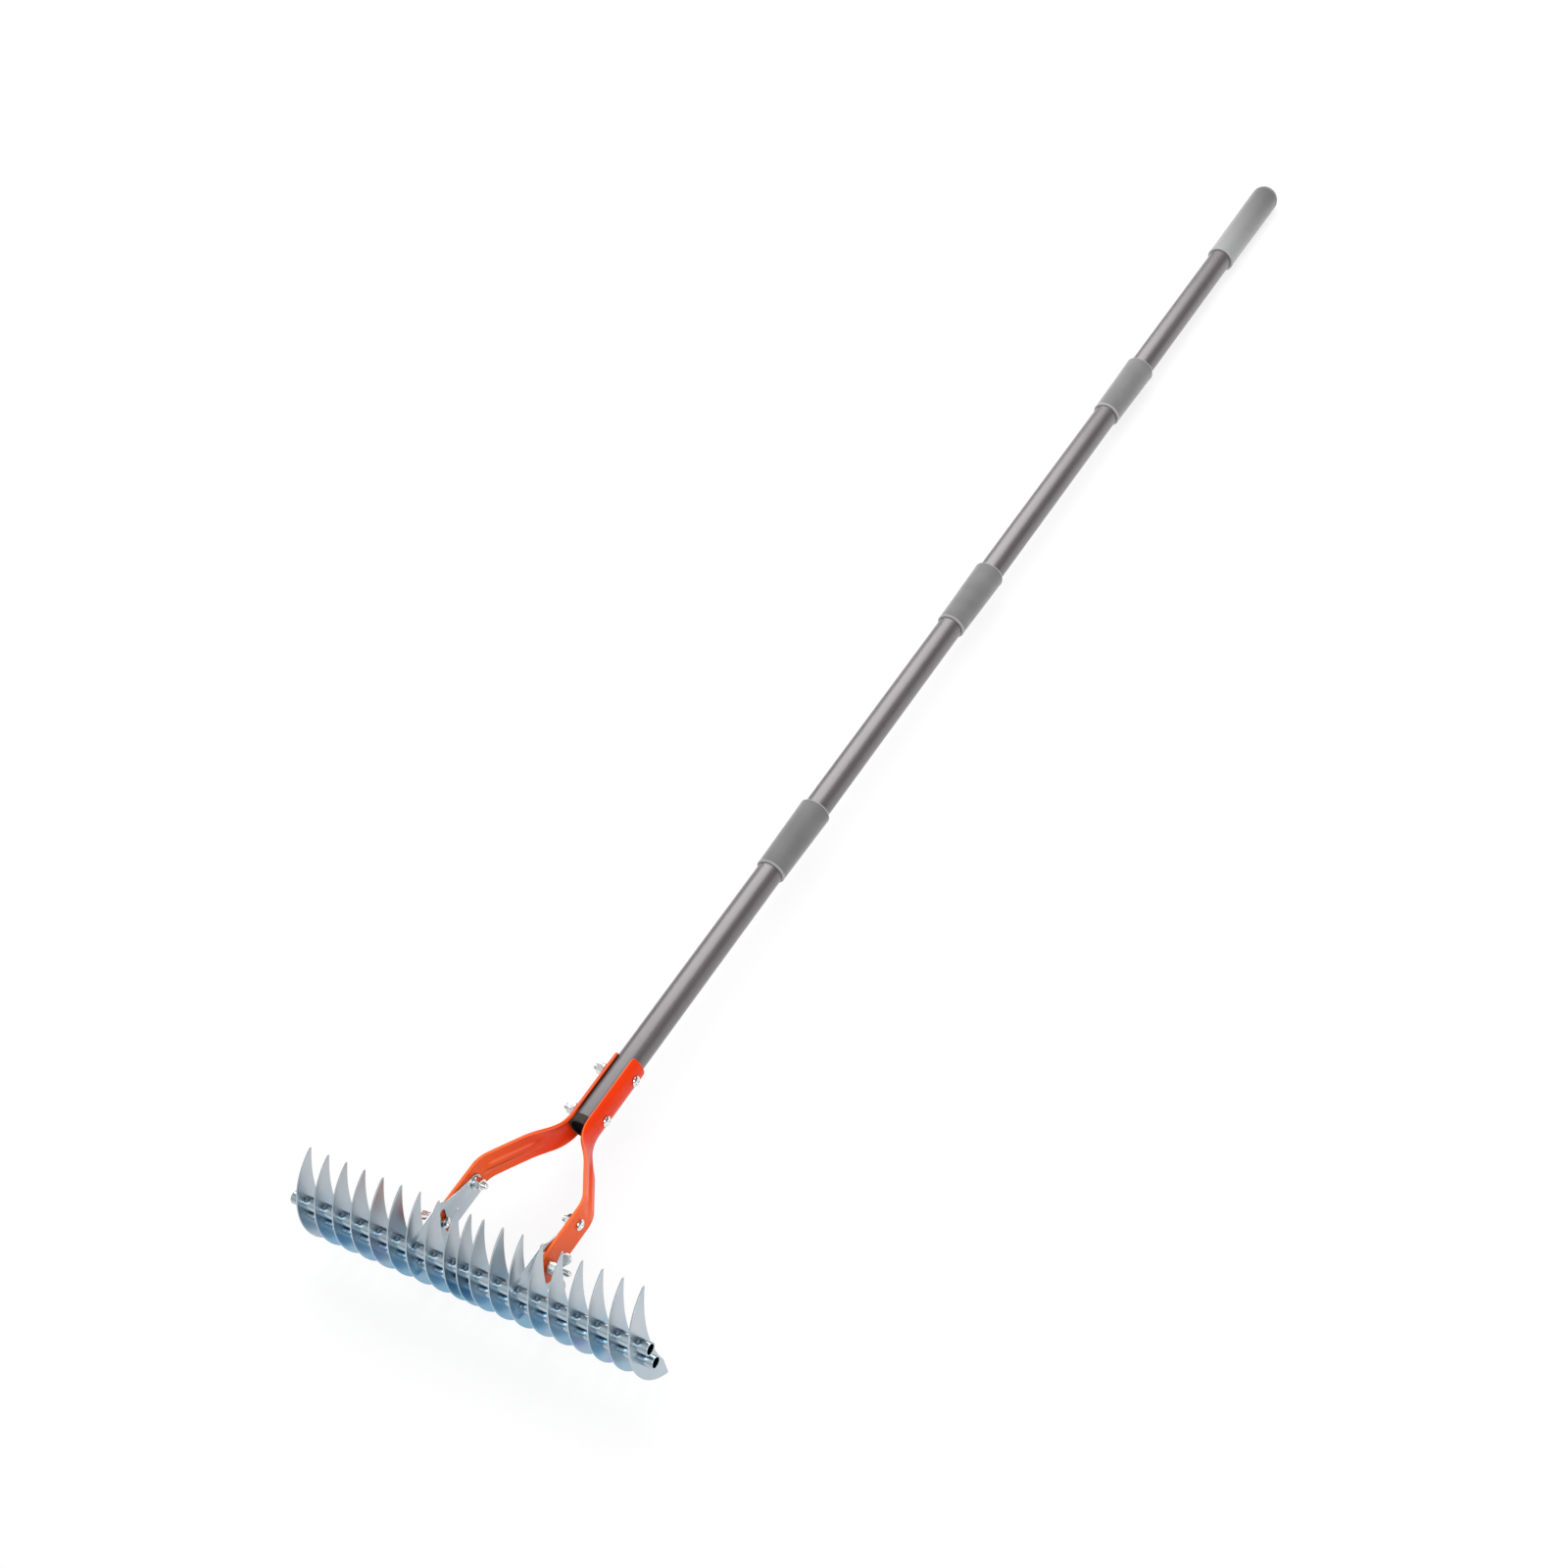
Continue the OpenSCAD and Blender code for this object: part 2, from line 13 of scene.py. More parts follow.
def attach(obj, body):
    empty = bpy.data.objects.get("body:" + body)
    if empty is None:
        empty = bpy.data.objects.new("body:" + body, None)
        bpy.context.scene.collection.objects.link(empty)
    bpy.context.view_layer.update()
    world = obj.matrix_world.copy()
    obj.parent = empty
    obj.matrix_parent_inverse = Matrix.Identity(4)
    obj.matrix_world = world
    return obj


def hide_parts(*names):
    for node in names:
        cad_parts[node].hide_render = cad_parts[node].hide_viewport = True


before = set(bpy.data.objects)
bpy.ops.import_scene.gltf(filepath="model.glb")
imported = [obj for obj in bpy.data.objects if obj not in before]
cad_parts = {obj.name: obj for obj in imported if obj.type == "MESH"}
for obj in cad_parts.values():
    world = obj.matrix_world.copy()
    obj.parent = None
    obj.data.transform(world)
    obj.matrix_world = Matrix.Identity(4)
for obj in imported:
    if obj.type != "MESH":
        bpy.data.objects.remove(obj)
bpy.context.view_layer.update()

# %% [markdown]
# ## The layout of the tool
# A maker thinks of the rake along its handle: X across the head, Y up the handle from the face of the plug, Z
# up the claws, all in millimetres. The finished rake lies on its blade corners and on its grip, so the whole
# layout is turned a little about X and moved. Writing every shape in the maker's layout keeps the numbers
# round, and one function lays the points down at the end.

# %% Sizes and the lie of the rake
handle_r = 12.7
grip_r = 15.7
tube_start = 8.0
section_count = 4
section_len, last_len = 356.0, 372.0
tube_top = tube_start + (section_count - 1) * section_len + last_len
grip_end = 20.0
dome_y = tube_top + grip_end - grip_r
head_reach, blade_rise, back_r, corner_reach = 121.5, 0.7, 60.5, 27.7
corner_y = -head_reach - corner_reach
corner_z = blade_rise - np.sqrt(back_r**2 - corner_reach**2)
lie = np.arcsin(grip_r / np.hypot(dome_y - corner_y, corner_z)) - np.arctan2(-corner_z, dome_y - corner_y)


def turn_down(y, z):
    """Turns a point (y, z) about X by the angle of the lie."""
    return y * np.cos(lie) - z * np.sin(lie), y * np.sin(lie) + z * np.cos(lie)


shift_y = -(turn_down(-head_reach, blade_rise)[0] - back_r + turn_down(dome_y, 0.0)[0] + grip_r) / 2
shift_z = -turn_down(corner_y, corner_z)[1]


def lay_down(points):
    """Points of the maker's layout in millimetres, turned and moved to where the rake lies, in metres."""
    p = np.asarray(points, float).reshape(-1, 3)
    y, z = turn_down(p[:, 1], p[:, 2])
    return np.stack([p[:, 0], y + shift_y, z + shift_z], 1) / 1000


print("lie %.3f degrees, shifted %.1f and %.1f mm" % (np.degrees(lie), shift_y, shift_z))

# %% [markdown]
# ## From a grid to a mesh
# A surface here is a table of points with rows and columns. The faces are the quads between neighbours, and a
# row or column can be joined round to its start. Points that fall together, at a pole or along a seam, are
# merged, and the normals are then turned outwards. A corner stays crisp where two faces meet at more than
# 35 degrees.

# %% Helpers for grids
merge_dist = 2e-6
crisp_angle = np.radians(35.0)


def quads(rows, cols, wrap_rows, wrap_cols):
    """Faces between neighbours in a table of rows by cols points, joined round at its ends where asked."""
    i = np.arange(rows if wrap_rows else rows - 1)[:, None]
    j = np.arange(cols if wrap_cols else cols - 1)[None, :]
    i2 = (i + 1) % rows
    j2 = (j + 1) % cols
    return np.stack([i * cols + j, i * cols + j2, i2 * cols + j2, i2 * cols + j], -1).reshape(-1, 4)


def shells(*parts):
    """Joins several (grid, wrap rows, wrap columns) into one list of points and faces."""
    points, faces, start = [], [], 0
    for grid, wrap_rows, wrap_cols in parts:
        rows, cols = grid.shape[:2]
        faces.append(quads(rows, cols, wrap_rows, wrap_cols) + start)
        points.append(grid.reshape(-1, 3))
        start += rows * cols
    return np.concatenate(points), np.concatenate(faces)


def add_piece(name, points, faces, finish, body, slot, nodes, marks=None):
    """Makes the mesh of a piece, closes it, and hangs it on its body in place of its CAD nodes."""
    mesh = bpy.data.meshes.new(name)
    mesh.from_pydata(lay_down(points).tolist(), [], faces if isinstance(faces, list) else faces.tolist())
    for mark, values in (marks or {}).items():
        layer = mesh.attributes.new(mark, "FLOAT", "POINT")
        layer.data.foreach_set("value", np.ravel(values).astype(np.float32))
    shell = bmesh.new()
    shell.from_mesh(mesh)
    bmesh.ops.remove_doubles(shell, verts=shell.verts, dist=merge_dist)
    bmesh.ops.recalc_face_normals(shell, faces=shell.faces)
    shell.to_mesh(mesh)
    shell.free()
    mesh.shade_smooth()
    mesh.set_sharp_from_angle(angle=crisp_angle)
    mesh.materials.append(finish)
    made = bpy.data.objects.new(name, mesh)
    bpy.context.scene.collection.objects.link(made)
    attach(made, body)
    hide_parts(*nodes)
    print("%s: %d faces" % (name, len(mesh.polygons)))


def rounded(corners, cut, steps):
    """Rounds a closed outline.

    Each corner becomes a quadratic curve between the two points a cut's length along its sides.
    """
    p = np.asarray(corners, float)
    back = np.roll(p, 1, 0) - p
    on = np.roll(p, -1, 0) - p
    length = np.broadcast_to(np.asarray(cut, float), len(p))[:, None]
    a = p + back * length / np.linalg.norm(back, axis=1, keepdims=True)
    c = p + on * length / np.linalg.norm(on, axis=1, keepdims=True)
    t = np.linspace(0, 1, steps)[None, :, None]
    curve = (1 - t) ** 2 * a[:, None] + 2 * t * (1 - t) * p[:, None] + t**2 * c[:, None]
    return curve.reshape(-1, 2)


def turned(profile, sides):
    """A profile of (radius, height) points carried once round the Z axis."""
    r, h = np.asarray(profile, float).T[:, :, None]
    a = np.linspace(0, 2 * np.pi, sides, endpoint=False)[None, :]
    return np.stack([r * np.cos(a), r * np.sin(a), h + 0 * a], -1)


def along_handle(grid, y):
    """Stands a shape's Z axis along the handle, from Y = y upwards."""
    return np.stack([grid[..., 0], y + grid[..., 2], -grid[..., 1]], -1)


# %% [markdown]
# ## Finishes
# Each finish is a Principled shader. What varies over the surface, such as cloudy plating or the peel of a
# powder coat, comes from noise on Object coordinates. What belongs to a place, such as a rubbed rim, comes
# from a mark, a number kept on each point of the mesh. What is the same all over is set on the shader's own
# socket.


# %% Helpers for finishes
def new_finish(name, roughness, metallic=0.0, **sockets):
    """A material with a Principled shader, its constant values set on the shader itself."""
    finish = bpy.data.materials.new(name)
    finish.use_nodes = True
    shader = finish.node_tree.nodes["Principled BSDF"]
    shader.inputs["Roughness"].default_value = roughness
    shader.inputs["Metallic"].default_value = metallic
    for socket, value in sockets.items():
        shader.inputs[socket.replace("_", " ")].default_value = value
    print("finish:", name)
    return finish, finish.node_tree, shader


def noise(tree, scale, detail, stretch=(1, 1, 1)):
    """Noise on Object coordinates, stretched along the axes where asked."""
    coord = tree.nodes.new("ShaderNodeTexCoord")
    mapping = tree.nodes.new("ShaderNodeMapping")
    mapping.inputs["Scale"].default_value = stretch
    texture = tree.nodes.new("ShaderNodeTexNoise")
    texture.inputs["Scale"].default_value = scale
    texture.inputs["Detail"].default_value = detail
    tree.links.new(coord.outputs["Object"], mapping.inputs["Vector"])
    tree.links.new(mapping.outputs["Vector"], texture.inputs["Vector"])
    return texture.outputs["Fac"]


def ramp(tree, source, stops):
    """A colour ramp from (place, colour) stops, of which the first two are the lowest and the highest."""
    node = tree.nodes.new("ShaderNodeValToRGB")
    points = node.color_ramp.elements
    for k, (place, colour) in enumerate(stops):
        stop = points[k] if k < 2 else points.new(place)
        stop.position = place
        stop.color = (*colour, 1)
    tree.links.new(source, node.inputs["Fac"])
    return node.outputs["Color"]


def spread(tree, source, low, high):
    """Maps a source from 0..1 to low..high."""
    node = tree.nodes.new("ShaderNodeMapRange")
    node.inputs["To Min"].default_value = low
    node.inputs["To Max"].default_value = high
    tree.links.new(source, node.inputs["Value"])
    return node.outputs["Result"]


def bump(tree, shader, source, strength, distance):
    """Lets a source raise the surface a little."""
    node = tree.nodes.new("ShaderNodeBump")
    node.inputs["Strength"].default_value = strength
    node.inputs["Distance"].default_value = distance
    tree.links.new(source, node.inputs["Height"])
    tree.links.new(node.outputs["Normal"], shader.inputs["Normal"])


def mixed(tree, factor, a, b):
    """Mixes two colours by a factor. The node's colour sockets are inputs 6 and 7 and output 2."""
    node = tree.nodes.new("ShaderNodeMix")
    node.data_type = "RGBA"
    tree.links.new(factor, node.inputs["Factor"])
    for socket, value in ((node.inputs[6], a), (node.inputs[7], b)):
        if isinstance(value, tuple):
            socket.default_value = (*value, 1)
        else:
            tree.links.new(value, socket)
    return node.outputs[2]


def mark_of(tree, name):
    """Reads one of a mesh's marks."""
    node = tree.nodes.new("ShaderNodeAttribute")
    node.attribute_name = name
    return node.outputs["Fac"]


# %% [markdown]
# ### Zinc plate
# The blades are zinc plated and passivated, which leaves a clear film with clouds of blue, teal and violet.
# The claws are plain grey, and the colour is mixed in by a mark, `depth`, that grows from the claws down to
# the body. The film's colour is the plating's own, and its strength on the bodies between the blades, less on
# the open outer blades, is painted reflection. The noise is stretched so far across the head that each blade
# has clouds of its own. A second mark, `tone`, is painted shade that darkens the plates round their
# slots, where the blades beside them shade them.

# %% Zinc plate on the blades
zinc, tree, shader = new_finish("zinc_plate", 0.2, metallic=1.0)
cloud = noise(tree, 1.0, 2.0, stretch=(63, 15, 15))
film_stops = [
    (0.30, (0.19, 0.41, 0.52)),
    (0.72, (0.32, 0.39, 0.60)),
    (0.46, (0.22, 0.41, 0.58)),
    (0.60, (0.33, 0.47, 0.57)),
]
film = ramp(tree, cloud, film_stops)
plain = ramp(tree, noise(tree, 26.0, 3.0), [(0.3, (0.47, 0.53, 0.57)), (0.7, (0.53, 0.58, 0.615))])
# Painted shade: the plates are darker round their slots, where the blades beside them shade them.
plain = mixed(tree, mark_of(tree, "tone"), plain, (0.30, 0.36, 0.40))
# The film mixed in by depth is the plating's own colour, deepened on the bodies as painted reflection between
# the blades.
tree.links.new(mixed(tree, mark_of(tree, "depth"), plain, film), shader.inputs["Base Color"])
matte = tree.nodes.new("ShaderNodeMath")
matte.operation = "ADD"
tree.links.new(spread(tree, noise(tree, 60.0, 5.0), 0.19, 0.30), matte.inputs[0])
tree.links.new(spread(tree, mark_of(tree, "depth"), 0.10, 0.0), matte.inputs[1])
tree.links.new(matte.outputs[0], shader.inputs["Roughness"])
bump(tree, shader, noise(tree, 900.0, 2.0), 0.015, 0.0002)

# %% Smoother zinc on the crossbars, with painted shade in the bores and the crimps
bar_zinc, tree, shader = new_finish("bar_zinc", 0.15, metallic=1.0)
plain = ramp(tree, noise(tree, 40.0, 3.0), [(0.3, (0.36, 0.45, 0.51)), (0.7, (0.46, 0.54, 0.60))])
# Painted shade: the bores and the crimps are darkened.
plain = mixed(tree, mark_of(tree, "shade"), plain, (0.025, 0.045, 0.070))
tree.links.new(plain, shader.inputs["Base Color"])
tree.links.new(spread(tree, noise(tree, 80.0, 5.0), 0.11, 0.20), shader.inputs["Roughness"])

# %% Bright zinc on the bolts, nuts and washers
bright_zinc, tree, shader = new_finish("bright_zinc", 0.2, metallic=1.0)
tint = ramp(tree, noise(tree, 120.0, 3.0), [(0.3, (0.68, 0.69, 0.69)), (0.7, (0.82, 0.83, 0.81))])
tree.links.new(tint, shader.inputs["Base Color"])
tree.links.new(spread(tree, noise(tree, 300.0, 4.0), 0.06, 0.14), shader.inputs["Roughness"])

# %% [markdown]
# ### Powder coat and plastics
# The powder coat is a strong orange red with little shine, more orange down the strap, with a painted
# highlight along its corners and painted shade in its creases, which are marked. The tubes have a satin grey
# coat with a fine grain along their length. The moulded sleeves and the grip are matte. Their rims carry a
# little painted highlight, and the grip is darker with painted shade.

# %% Red powder coat on the yoke arms
red_paint, tree, shader = new_finish("red_powder_coat", 0.34, Specular_IOR_Level=0.25)
peel = noise(tree, 700.0, 2.0)
coat = ramp(tree, noise(tree, 40.0, 3.0), [(0.3, (0.640, 0.028, 0.0002)), (0.7, (0.690, 0.033, 0.0004))])
coat = mixed(tree, mark_of(tree, "lower"), coat, (0.80, 0.090, 0.005))
# Painted highlight: the strap's corners and ends are lighter.
coat = mixed(tree, mark_of(tree, "edge"), coat, (0.86, 0.13, 0.010))
# Painted shade: dark where the roll lies against the tube and at the foot of the rib.
coat = mixed(tree, mark_of(tree, "crease_shade"), coat, (0.085, 0.006, 0.002))
tree.links.new(coat, shader.inputs["Base Color"])
tree.links.new(spread(tree, peel, 0.30, 0.38), shader.inputs["Roughness"])
bump(tree, shader, peel, 0.04, 0.0003)

# %% Satin grey on the tubes
grey_tube, tree, shader = new_finish(
    "satin_grey_tube", 0.4, Specular_IOR_Level=1.0, Coat_Weight=1.0, Coat_Roughness=0.37
)
grain = noise(tree, 500.0, 3.0, stretch=(1, 0.04, 1))
coat = ramp(tree, noise(tree, 30.0, 4.0), [(0.3, (0.048, 0.037, 0.040)), (0.7, (0.060, 0.046, 0.050))])
coat = mixed(tree, spread(tree, grain, 0.0, 0.3), coat, (0.100, 0.080, 0.086))
tree.links.new(coat, shader.inputs["Base Color"])
tree.links.new(spread(tree, grain, 0.38, 0.48), shader.inputs["Roughness"])

# %% Matte grey plastic on the sleeves and the grip
grey_plastic, tree, shader = new_finish(
    "matte_grey_plastic", 0.62, Specular_IOR_Level=0.3, Sheen_Weight=0.7, Sheen_Roughness=0.45
)
texture = noise(tree, 1500.0, 2.0)
coat = ramp(tree, noise(tree, 45.0, 4.0), [(0.3, (0.106, 0.106, 0.106)), (0.7, (0.130, 0.130, 0.130))])
# Painted shade: the grip is darker.
coat = mixed(tree, mark_of(tree, "grip_shade"), coat, (0.062, 0.061, 0.060))
# Painted highlight: the rims of the sleeves and the grip are lighter.
coat = mixed(tree, mark_of(tree, "rim"), coat, (0.30, 0.30, 0.30))
tree.links.new(coat, shader.inputs["Base Color"])
tree.links.new(spread(tree, texture, 0.55, 0.70), shader.inputs["Roughness"])
bump(tree, shader, texture, 0.15, 0.0002)

# %% Black plastic of the plug, and the dark plastic of the inserts
black_plastic, tree, shader = new_finish("black_plastic", 0.75, Specular_IOR_Level=0.06)
tint = ramp(tree, noise(tree, 90.0, 3.0), [(0.3, (0.004, 0.004, 0.004)), (0.7, (0.007, 0.006, 0.006))])
# Painted highlight: the plug's rim is lighter.
tint = mixed(tree, mark_of(tree, "rim"), tint, (0.050, 0.043, 0.041))
tree.links.new(tint, shader.inputs["Base Color"])
tree.links.new(spread(tree, noise(tree, 800.0, 2.0), 0.70, 0.82), shader.inputs["Roughness"])
insert_plastic, tree, shader = new_finish("insert_plastic", 0.55)
tint = ramp(tree, noise(tree, 90.0, 3.0), [(0.3, (0.09, 0.09, 0.09)), (0.7, (0.115, 0.115, 0.115))])
tree.links.new(tint, shader.inputs["Base Color"])
tree.links.new(spread(tree, noise(tree, 800.0, 2.0), 0.50, 0.62), shader.inputs["Roughness"])

# %% [markdown]
# ## Handle tubes
# Four lengths of tube, butted end to end inside the joint sleeves; the last, with the grip, is a little
# longer. A tube could be a cylinder with a Solidify modifier. Carrying its wall, a small rounded rectangle,
# round the axis gives both faces and the rims at once.

# %% Handle tubes
tube_wall, tube_round = 1.2, 0.3
tube_bore_r = handle_r - tube_wall
handle_sides = 128
for n in range(1, section_count + 1):
    length = last_len if n == section_count else section_len
    corners = [(tube_bore_r, 0), (handle_r, 0), (handle_r, length), (tube_bore_r, length)]
    wall = rounded(corners, tube_round, 4)
    tube = along_handle(turned(wall, handle_sides), tube_start + (n - 1) * section_len)
    name = "handle_tube_%d" % n
    shape = shells((tube, True, True))
    add_piece("satin_" + name, *shape, grey_tube, "yoke_and_handle", "grey_tube", [name])

# %% [markdown]
# ## Joint sleeves
# A moulded sleeve covers each screwed joint. It is slightly conical, wider towards the grip, with a thin lip
# at its lower end and a rim at its upper end. Its outline is a closed profile, so it is turned like the
# tubes.

# %% Joint sleeves
slip = 0.06
sleeve_len, low_r, high_r, sleeve_bore = 84.0, 14.8, 16.0, handle_r + slip
lit_rim_width = 1.5


def lit_rim(from_rim):
    """Mark of a painted highlight at a moulded end, which fades out a little way from it."""
    return np.clip(1.4 - from_rim / lit_rim_width, 0, 1)


for n in range(1, section_count):
    wall = rounded(
        [
            (sleeve_bore, 0),
            (low_r - 0.9, 0),
            (low_r + 0.05, 1.0),
            (low_r - 0.25, 2.6),
            (high_r - 0.3, sleeve_len - 3.2),
            (high_r, sleeve_len - 1.4),
            (high_r - 0.9, sleeve_len),
            (sleeve_bore, sleeve_len),
        ],
        [0.2, 0.5, 0.6, 0.7, 0.8, 0.7, 0.5, 0.2],
        5,
    )
    sleeve = along_handle(turned(wall, handle_sides), tube_start + n * section_len - sleeve_len / 2)
    # A painted highlight at both ends of each sleeve.
    rim = lit_rim(np.minimum(wall[:, 1], sleeve_len - wall[:, 1]))
    name = "joint_sleeve_%d" % n
    add_piece(
        "moulded_" + name,
        *shells((sleeve, True, True)),
        grey_plastic,
        "yoke_and_handle",
        "grey_plastic",
        [name],
        marks={"rim": np.repeat(rim, handle_sides)},
    )

# %% [markdown]
# ## Grip
# The grip is a cup pushed over the end of the last tube, with a rounded mouth and a domed end. Its profile
# starts and ends on the axis, and at each end the points there are merged to a pole.

# %% Grip
grip_cover = 118.0
grip_len = grip_cover + grip_end
cup_floor = grip_cover + 0.2
inside = np.array([(0, cup_floor), (sleeve_bore - 0.4, cup_floor), (sleeve_bore, grip_cover - 0.2)])
mouth = rounded([(sleeve_bore, 0), (grip_r - 0.9, 0), (grip_r, 1.4)], [0.2, 0.5, 0.6], 5)[2:]
dome = np.linspace(0, np.pi / 2, 28)
dome = np.stack([grip_r * np.cos(dome), grip_len - grip_r + grip_r * np.sin(dome)], 1)
profile = np.concatenate([inside, mouth, dome])
cup = along_handle(turned(profile, handle_sides), tube_top - grip_cover)
# A painted highlight at the grip's mouth.
rim = np.repeat(lit_rim(profile[:, 1]), handle_sides)
# The grip is darker all over with painted shade.
add_piece(
    "moulded_grip",
    *shells((cup, False, True)),
    grey_plastic,
    "yoke_and_handle",
    "grey_plastic",
    ["grip"],
    marks={"rim": rim, "grip_shade": np.ones_like(rim)},
)

# %% [markdown]
# ## End plug
# A black plug closes the lower end of the tube. Its face is dished, with a rounded rim. Its profile, too,
# starts and ends on the axis.

# %% End plug
plug_len, dish_depth, rim_width, plug_sides = 13.1, 3.0, 2.4, 96
profile = rounded(
    [
        (0, dish_depth),
        (handle_r - 2.9, dish_depth),
        (handle_r - 2.5, 0),
        (handle_r, 0),
        (handle_r, tube_start),
        (tube_bore_r - slip, tube_start),
        (tube_bore_r - slip, plug_len),
        (0, plug_len),
    ],
    [0.0, 1.2, 0.8, 1.0, 0.2, 0.2, 0.6, 0.0],
    6,
)
plug = along_handle(turned(profile, plug_sides), 0.0)
# The plug's rim gets a painted highlight.
on_rim = (profile[:, 0] > handle_r - rim_width) * 1.0
add_piece(
    "dished_end_plug",
    *shells((plug, False, True)),
    black_plastic,
    "yoke_and_handle",
    "black_plastic",
    ["end_plug"],
    marks={"rim": np.repeat(on_rim, plug_sides)},
)

# %% [markdown]
# ## Yoke arms
# Each arm starts as a flat strap. Its upper end is rolled round the tube, the middle splays outwards with a
# pressed rib, and the lower end is flat. One formula gives all of it: the middle line has a place and a
# heading for each length s, and the section across it is a curve whose roll opens out to flat. The strap's
# edges are rounded by a superellipse.

# %% The middle line of an arm
strap_half, strap_t, arm_raise = 15.0, 3.0, 3.5
clamp_len, bend_start, clamp_corner, arm_corner = 71.0, 6.5, 3.0, 7.0
top_r, low_bend_r = 45.0, 28.0
pivot_y, pivot_z, slot_y = -85.5, arm_raise, -130.5
arm_inner = 54.45
arm_outer = arm_inner + strap_t
clamp_gap, pivot_room, arm_tail = 0.2, 7.1, 11.0
clamp_mid = handle_r + clamp_gap + strap_t / 2
plan_shift = arm_inner + strap_t / 2 - clamp_mid
flat_y = pivot_y + pivot_room
spare = plan_shift - top_r - low_bend_r
drop = bend_start - flat_y
splay = np.arcsin((top_r + low_bend_r) / np.hypot(drop, spare)) + np.arctan2(spare, drop)
splay_len = (plan_shift - (top_r + low_bend_r) * (1 - np.cos(splay))) / np.sin(splay)
splay_start = clamp_len + top_r * splay
splay_end = splay_start + splay_len
flat_start = splay_end + low_bend_r * splay
arm_len = flat_start + flat_y - slot_y + arm_tail


def ease(s, a, b):
    """A smooth step from 0 at a to 1 at b."""
    u = np.clip((s - a) / (b - a), 0, 1)
    return u * u * (3 - 2 * u)


def turns_of(s):
    """How far the middle line has turned outwards in the upper bend, and back again in the lower one."""
    return np.clip((s - clamp_len) / top_r, 0, splay), np.clip((s - splay_end) / low_bend_r, 0, splay)


def middle_line(s):
    """Place of the middle line in plan: the heading's sine and cosine added up along s, bend by bend."""
    a, back = turns_of(s)
    c = splay - back
    b = np.clip(s - splay_start, 0, splay_len)
    x = clamp_mid + top_r * (1 - np.cos(a)) + b * np.sin(splay) + low_bend_r * (np.cos(c) - np.cos(splay))
    y = bend_start + clamp_len - np.minimum(s, clamp_len) - top_r * np.sin(a) - b * np.cos(splay)
    y = y - low_bend_r * (np.sin(splay) - np.sin(c)) - np.maximum(0, s - flat_start)
    return x, y


print("splay %.2f degrees, strap %.1f mm long" % (np.degrees(splay), arm_len))


# %% The surface of an arm
end_round, edge_round, edge_power = 0.8, 1.0, 0.6
open_len = 48.0
rib_depth, rib_flat, rib_half, rib_fade = 2.4, 2.2, 6.5, 18.0
face_count = 61


def drawn_in(past, r):
    """How far a quarter circle of radius r has come in, a length past its start."""
    d = np.clip(past, 0, r)
    return r - np.sqrt(r * r - d * d)


def strap_surface():
    """The strap at length s and place w round its section.

    Across the strap the section is an arc of the roll's curvature, less a rib with sloped sides. Offset by half
    the thickness it gives the two faces, and a superellipse joins them round the edges. The thickness closes at
    both ends. The mark `crease_shade` is painted shade on the inner side of the roll, which lies against the
    tube, and at the foot of the rib; the mark `edge` is a painted highlight along the edges and ends.
    """
    ends = end_round * (1 - np.cos(np.linspace(0, np.pi / 2, 7)))
    body = np.linspace(end_round, arm_len - end_round, 240)
    s = np.concatenate([ends, body[1:-1], arm_len - ends[::-1]])[:, None]
    half = strap_half - drawn_in(clamp_corner - s, clamp_corner)
    half = half - drawn_in(s - arm_len + arm_corner, arm_corner)
    from_end = np.minimum(s, arm_len - s) / end_round
    thick = strap_t / 2 * (1 - np.clip(1 - from_end, 0, 1) ** 3) ** (1 / 3)
    flat = np.linspace(-1, 1, face_count)
    bend = np.linspace(np.pi / 2, -np.pi / 2, 13)[1:-1]
    tuck = np.cos(bend) ** edge_power
    off = np.sign(np.sin(bend)) * np.abs(np.sin(bend)) ** edge_power
    edge_r = np.minimum(edge_round, half)
    v_face = flat[None, :] * (half - edge_r)
    v_edge = half - edge_r + edge_r * tuck[None, :]
    v = np.concatenate([v_face, v_edge, v_face[:, ::-1], -v_edge], 1)
    n = np.concatenate([np.ones(face_count), off, -np.ones(face_count), -off])[None, :] * thick
    roll = (1 - ease(s, clamp_len, clamp_len + open_len)) / clamp_mid + 1e-9
    rib = rib_depth * ease(s, splay_start, splay_start + rib_fade)
    rib = rib * (1 - ease(s, flat_start - rib_fade, flat_start))
    swell = 1 - ease(np.abs(v), rib_flat, rib_half)
    out = (np.cos(roll * v) - 1) / roll - rib * swell + n * np.cos(roll * v)
    up = np.sin(roll * v) / roll + n * np.sin(roll * v)
    x, y = middle_line(s)
    outwards, back = turns_of(s)
    a = outwards - back
    rise = arm_raise * ease(s, clamp_len, flat_start)
    grid = np.stack([x + out * np.cos(a), y + out * np.sin(a), rise + up], -1)
    # edge is a painted highlight along the strap's edges and ends, strongest on the corners.
    corner = np.where(np.abs(off) > 0.75, 1.0, 0.35)
    on_edge = np.concatenate([0 * flat, corner, 0 * flat, corner])[None, :]
    edge = np.maximum(on_edge + 0 * v, np.clip(1 - from_end, 0, 1))
    # Painted shade on the inner side of the roll and at the foot of the rib.
    inner = np.concatenate([0 * flat, 1.0 * (off < 0.4), 1 + 0 * flat, 1.0 * (-off < 0.4)])[None, :]
    crease_shade = inner * (1 - ease(s, clamp_len - 8.0, clamp_len + 6.0))
    foot = ease(s, flat_start - 55.0, flat_start - 25.0)
    foot = foot * (1 - ease(s, flat_start - 14.0, flat_start - 4.0))
    crease_shade = np.maximum(crease_shade, 0.55 * foot * np.exp(-(((v + 0.8) / 1.1) ** 2)))
    lower = ease(s, splay_start - 10.0, flat_start) + 0 * v
    return grid, edge, lower, crease_shade


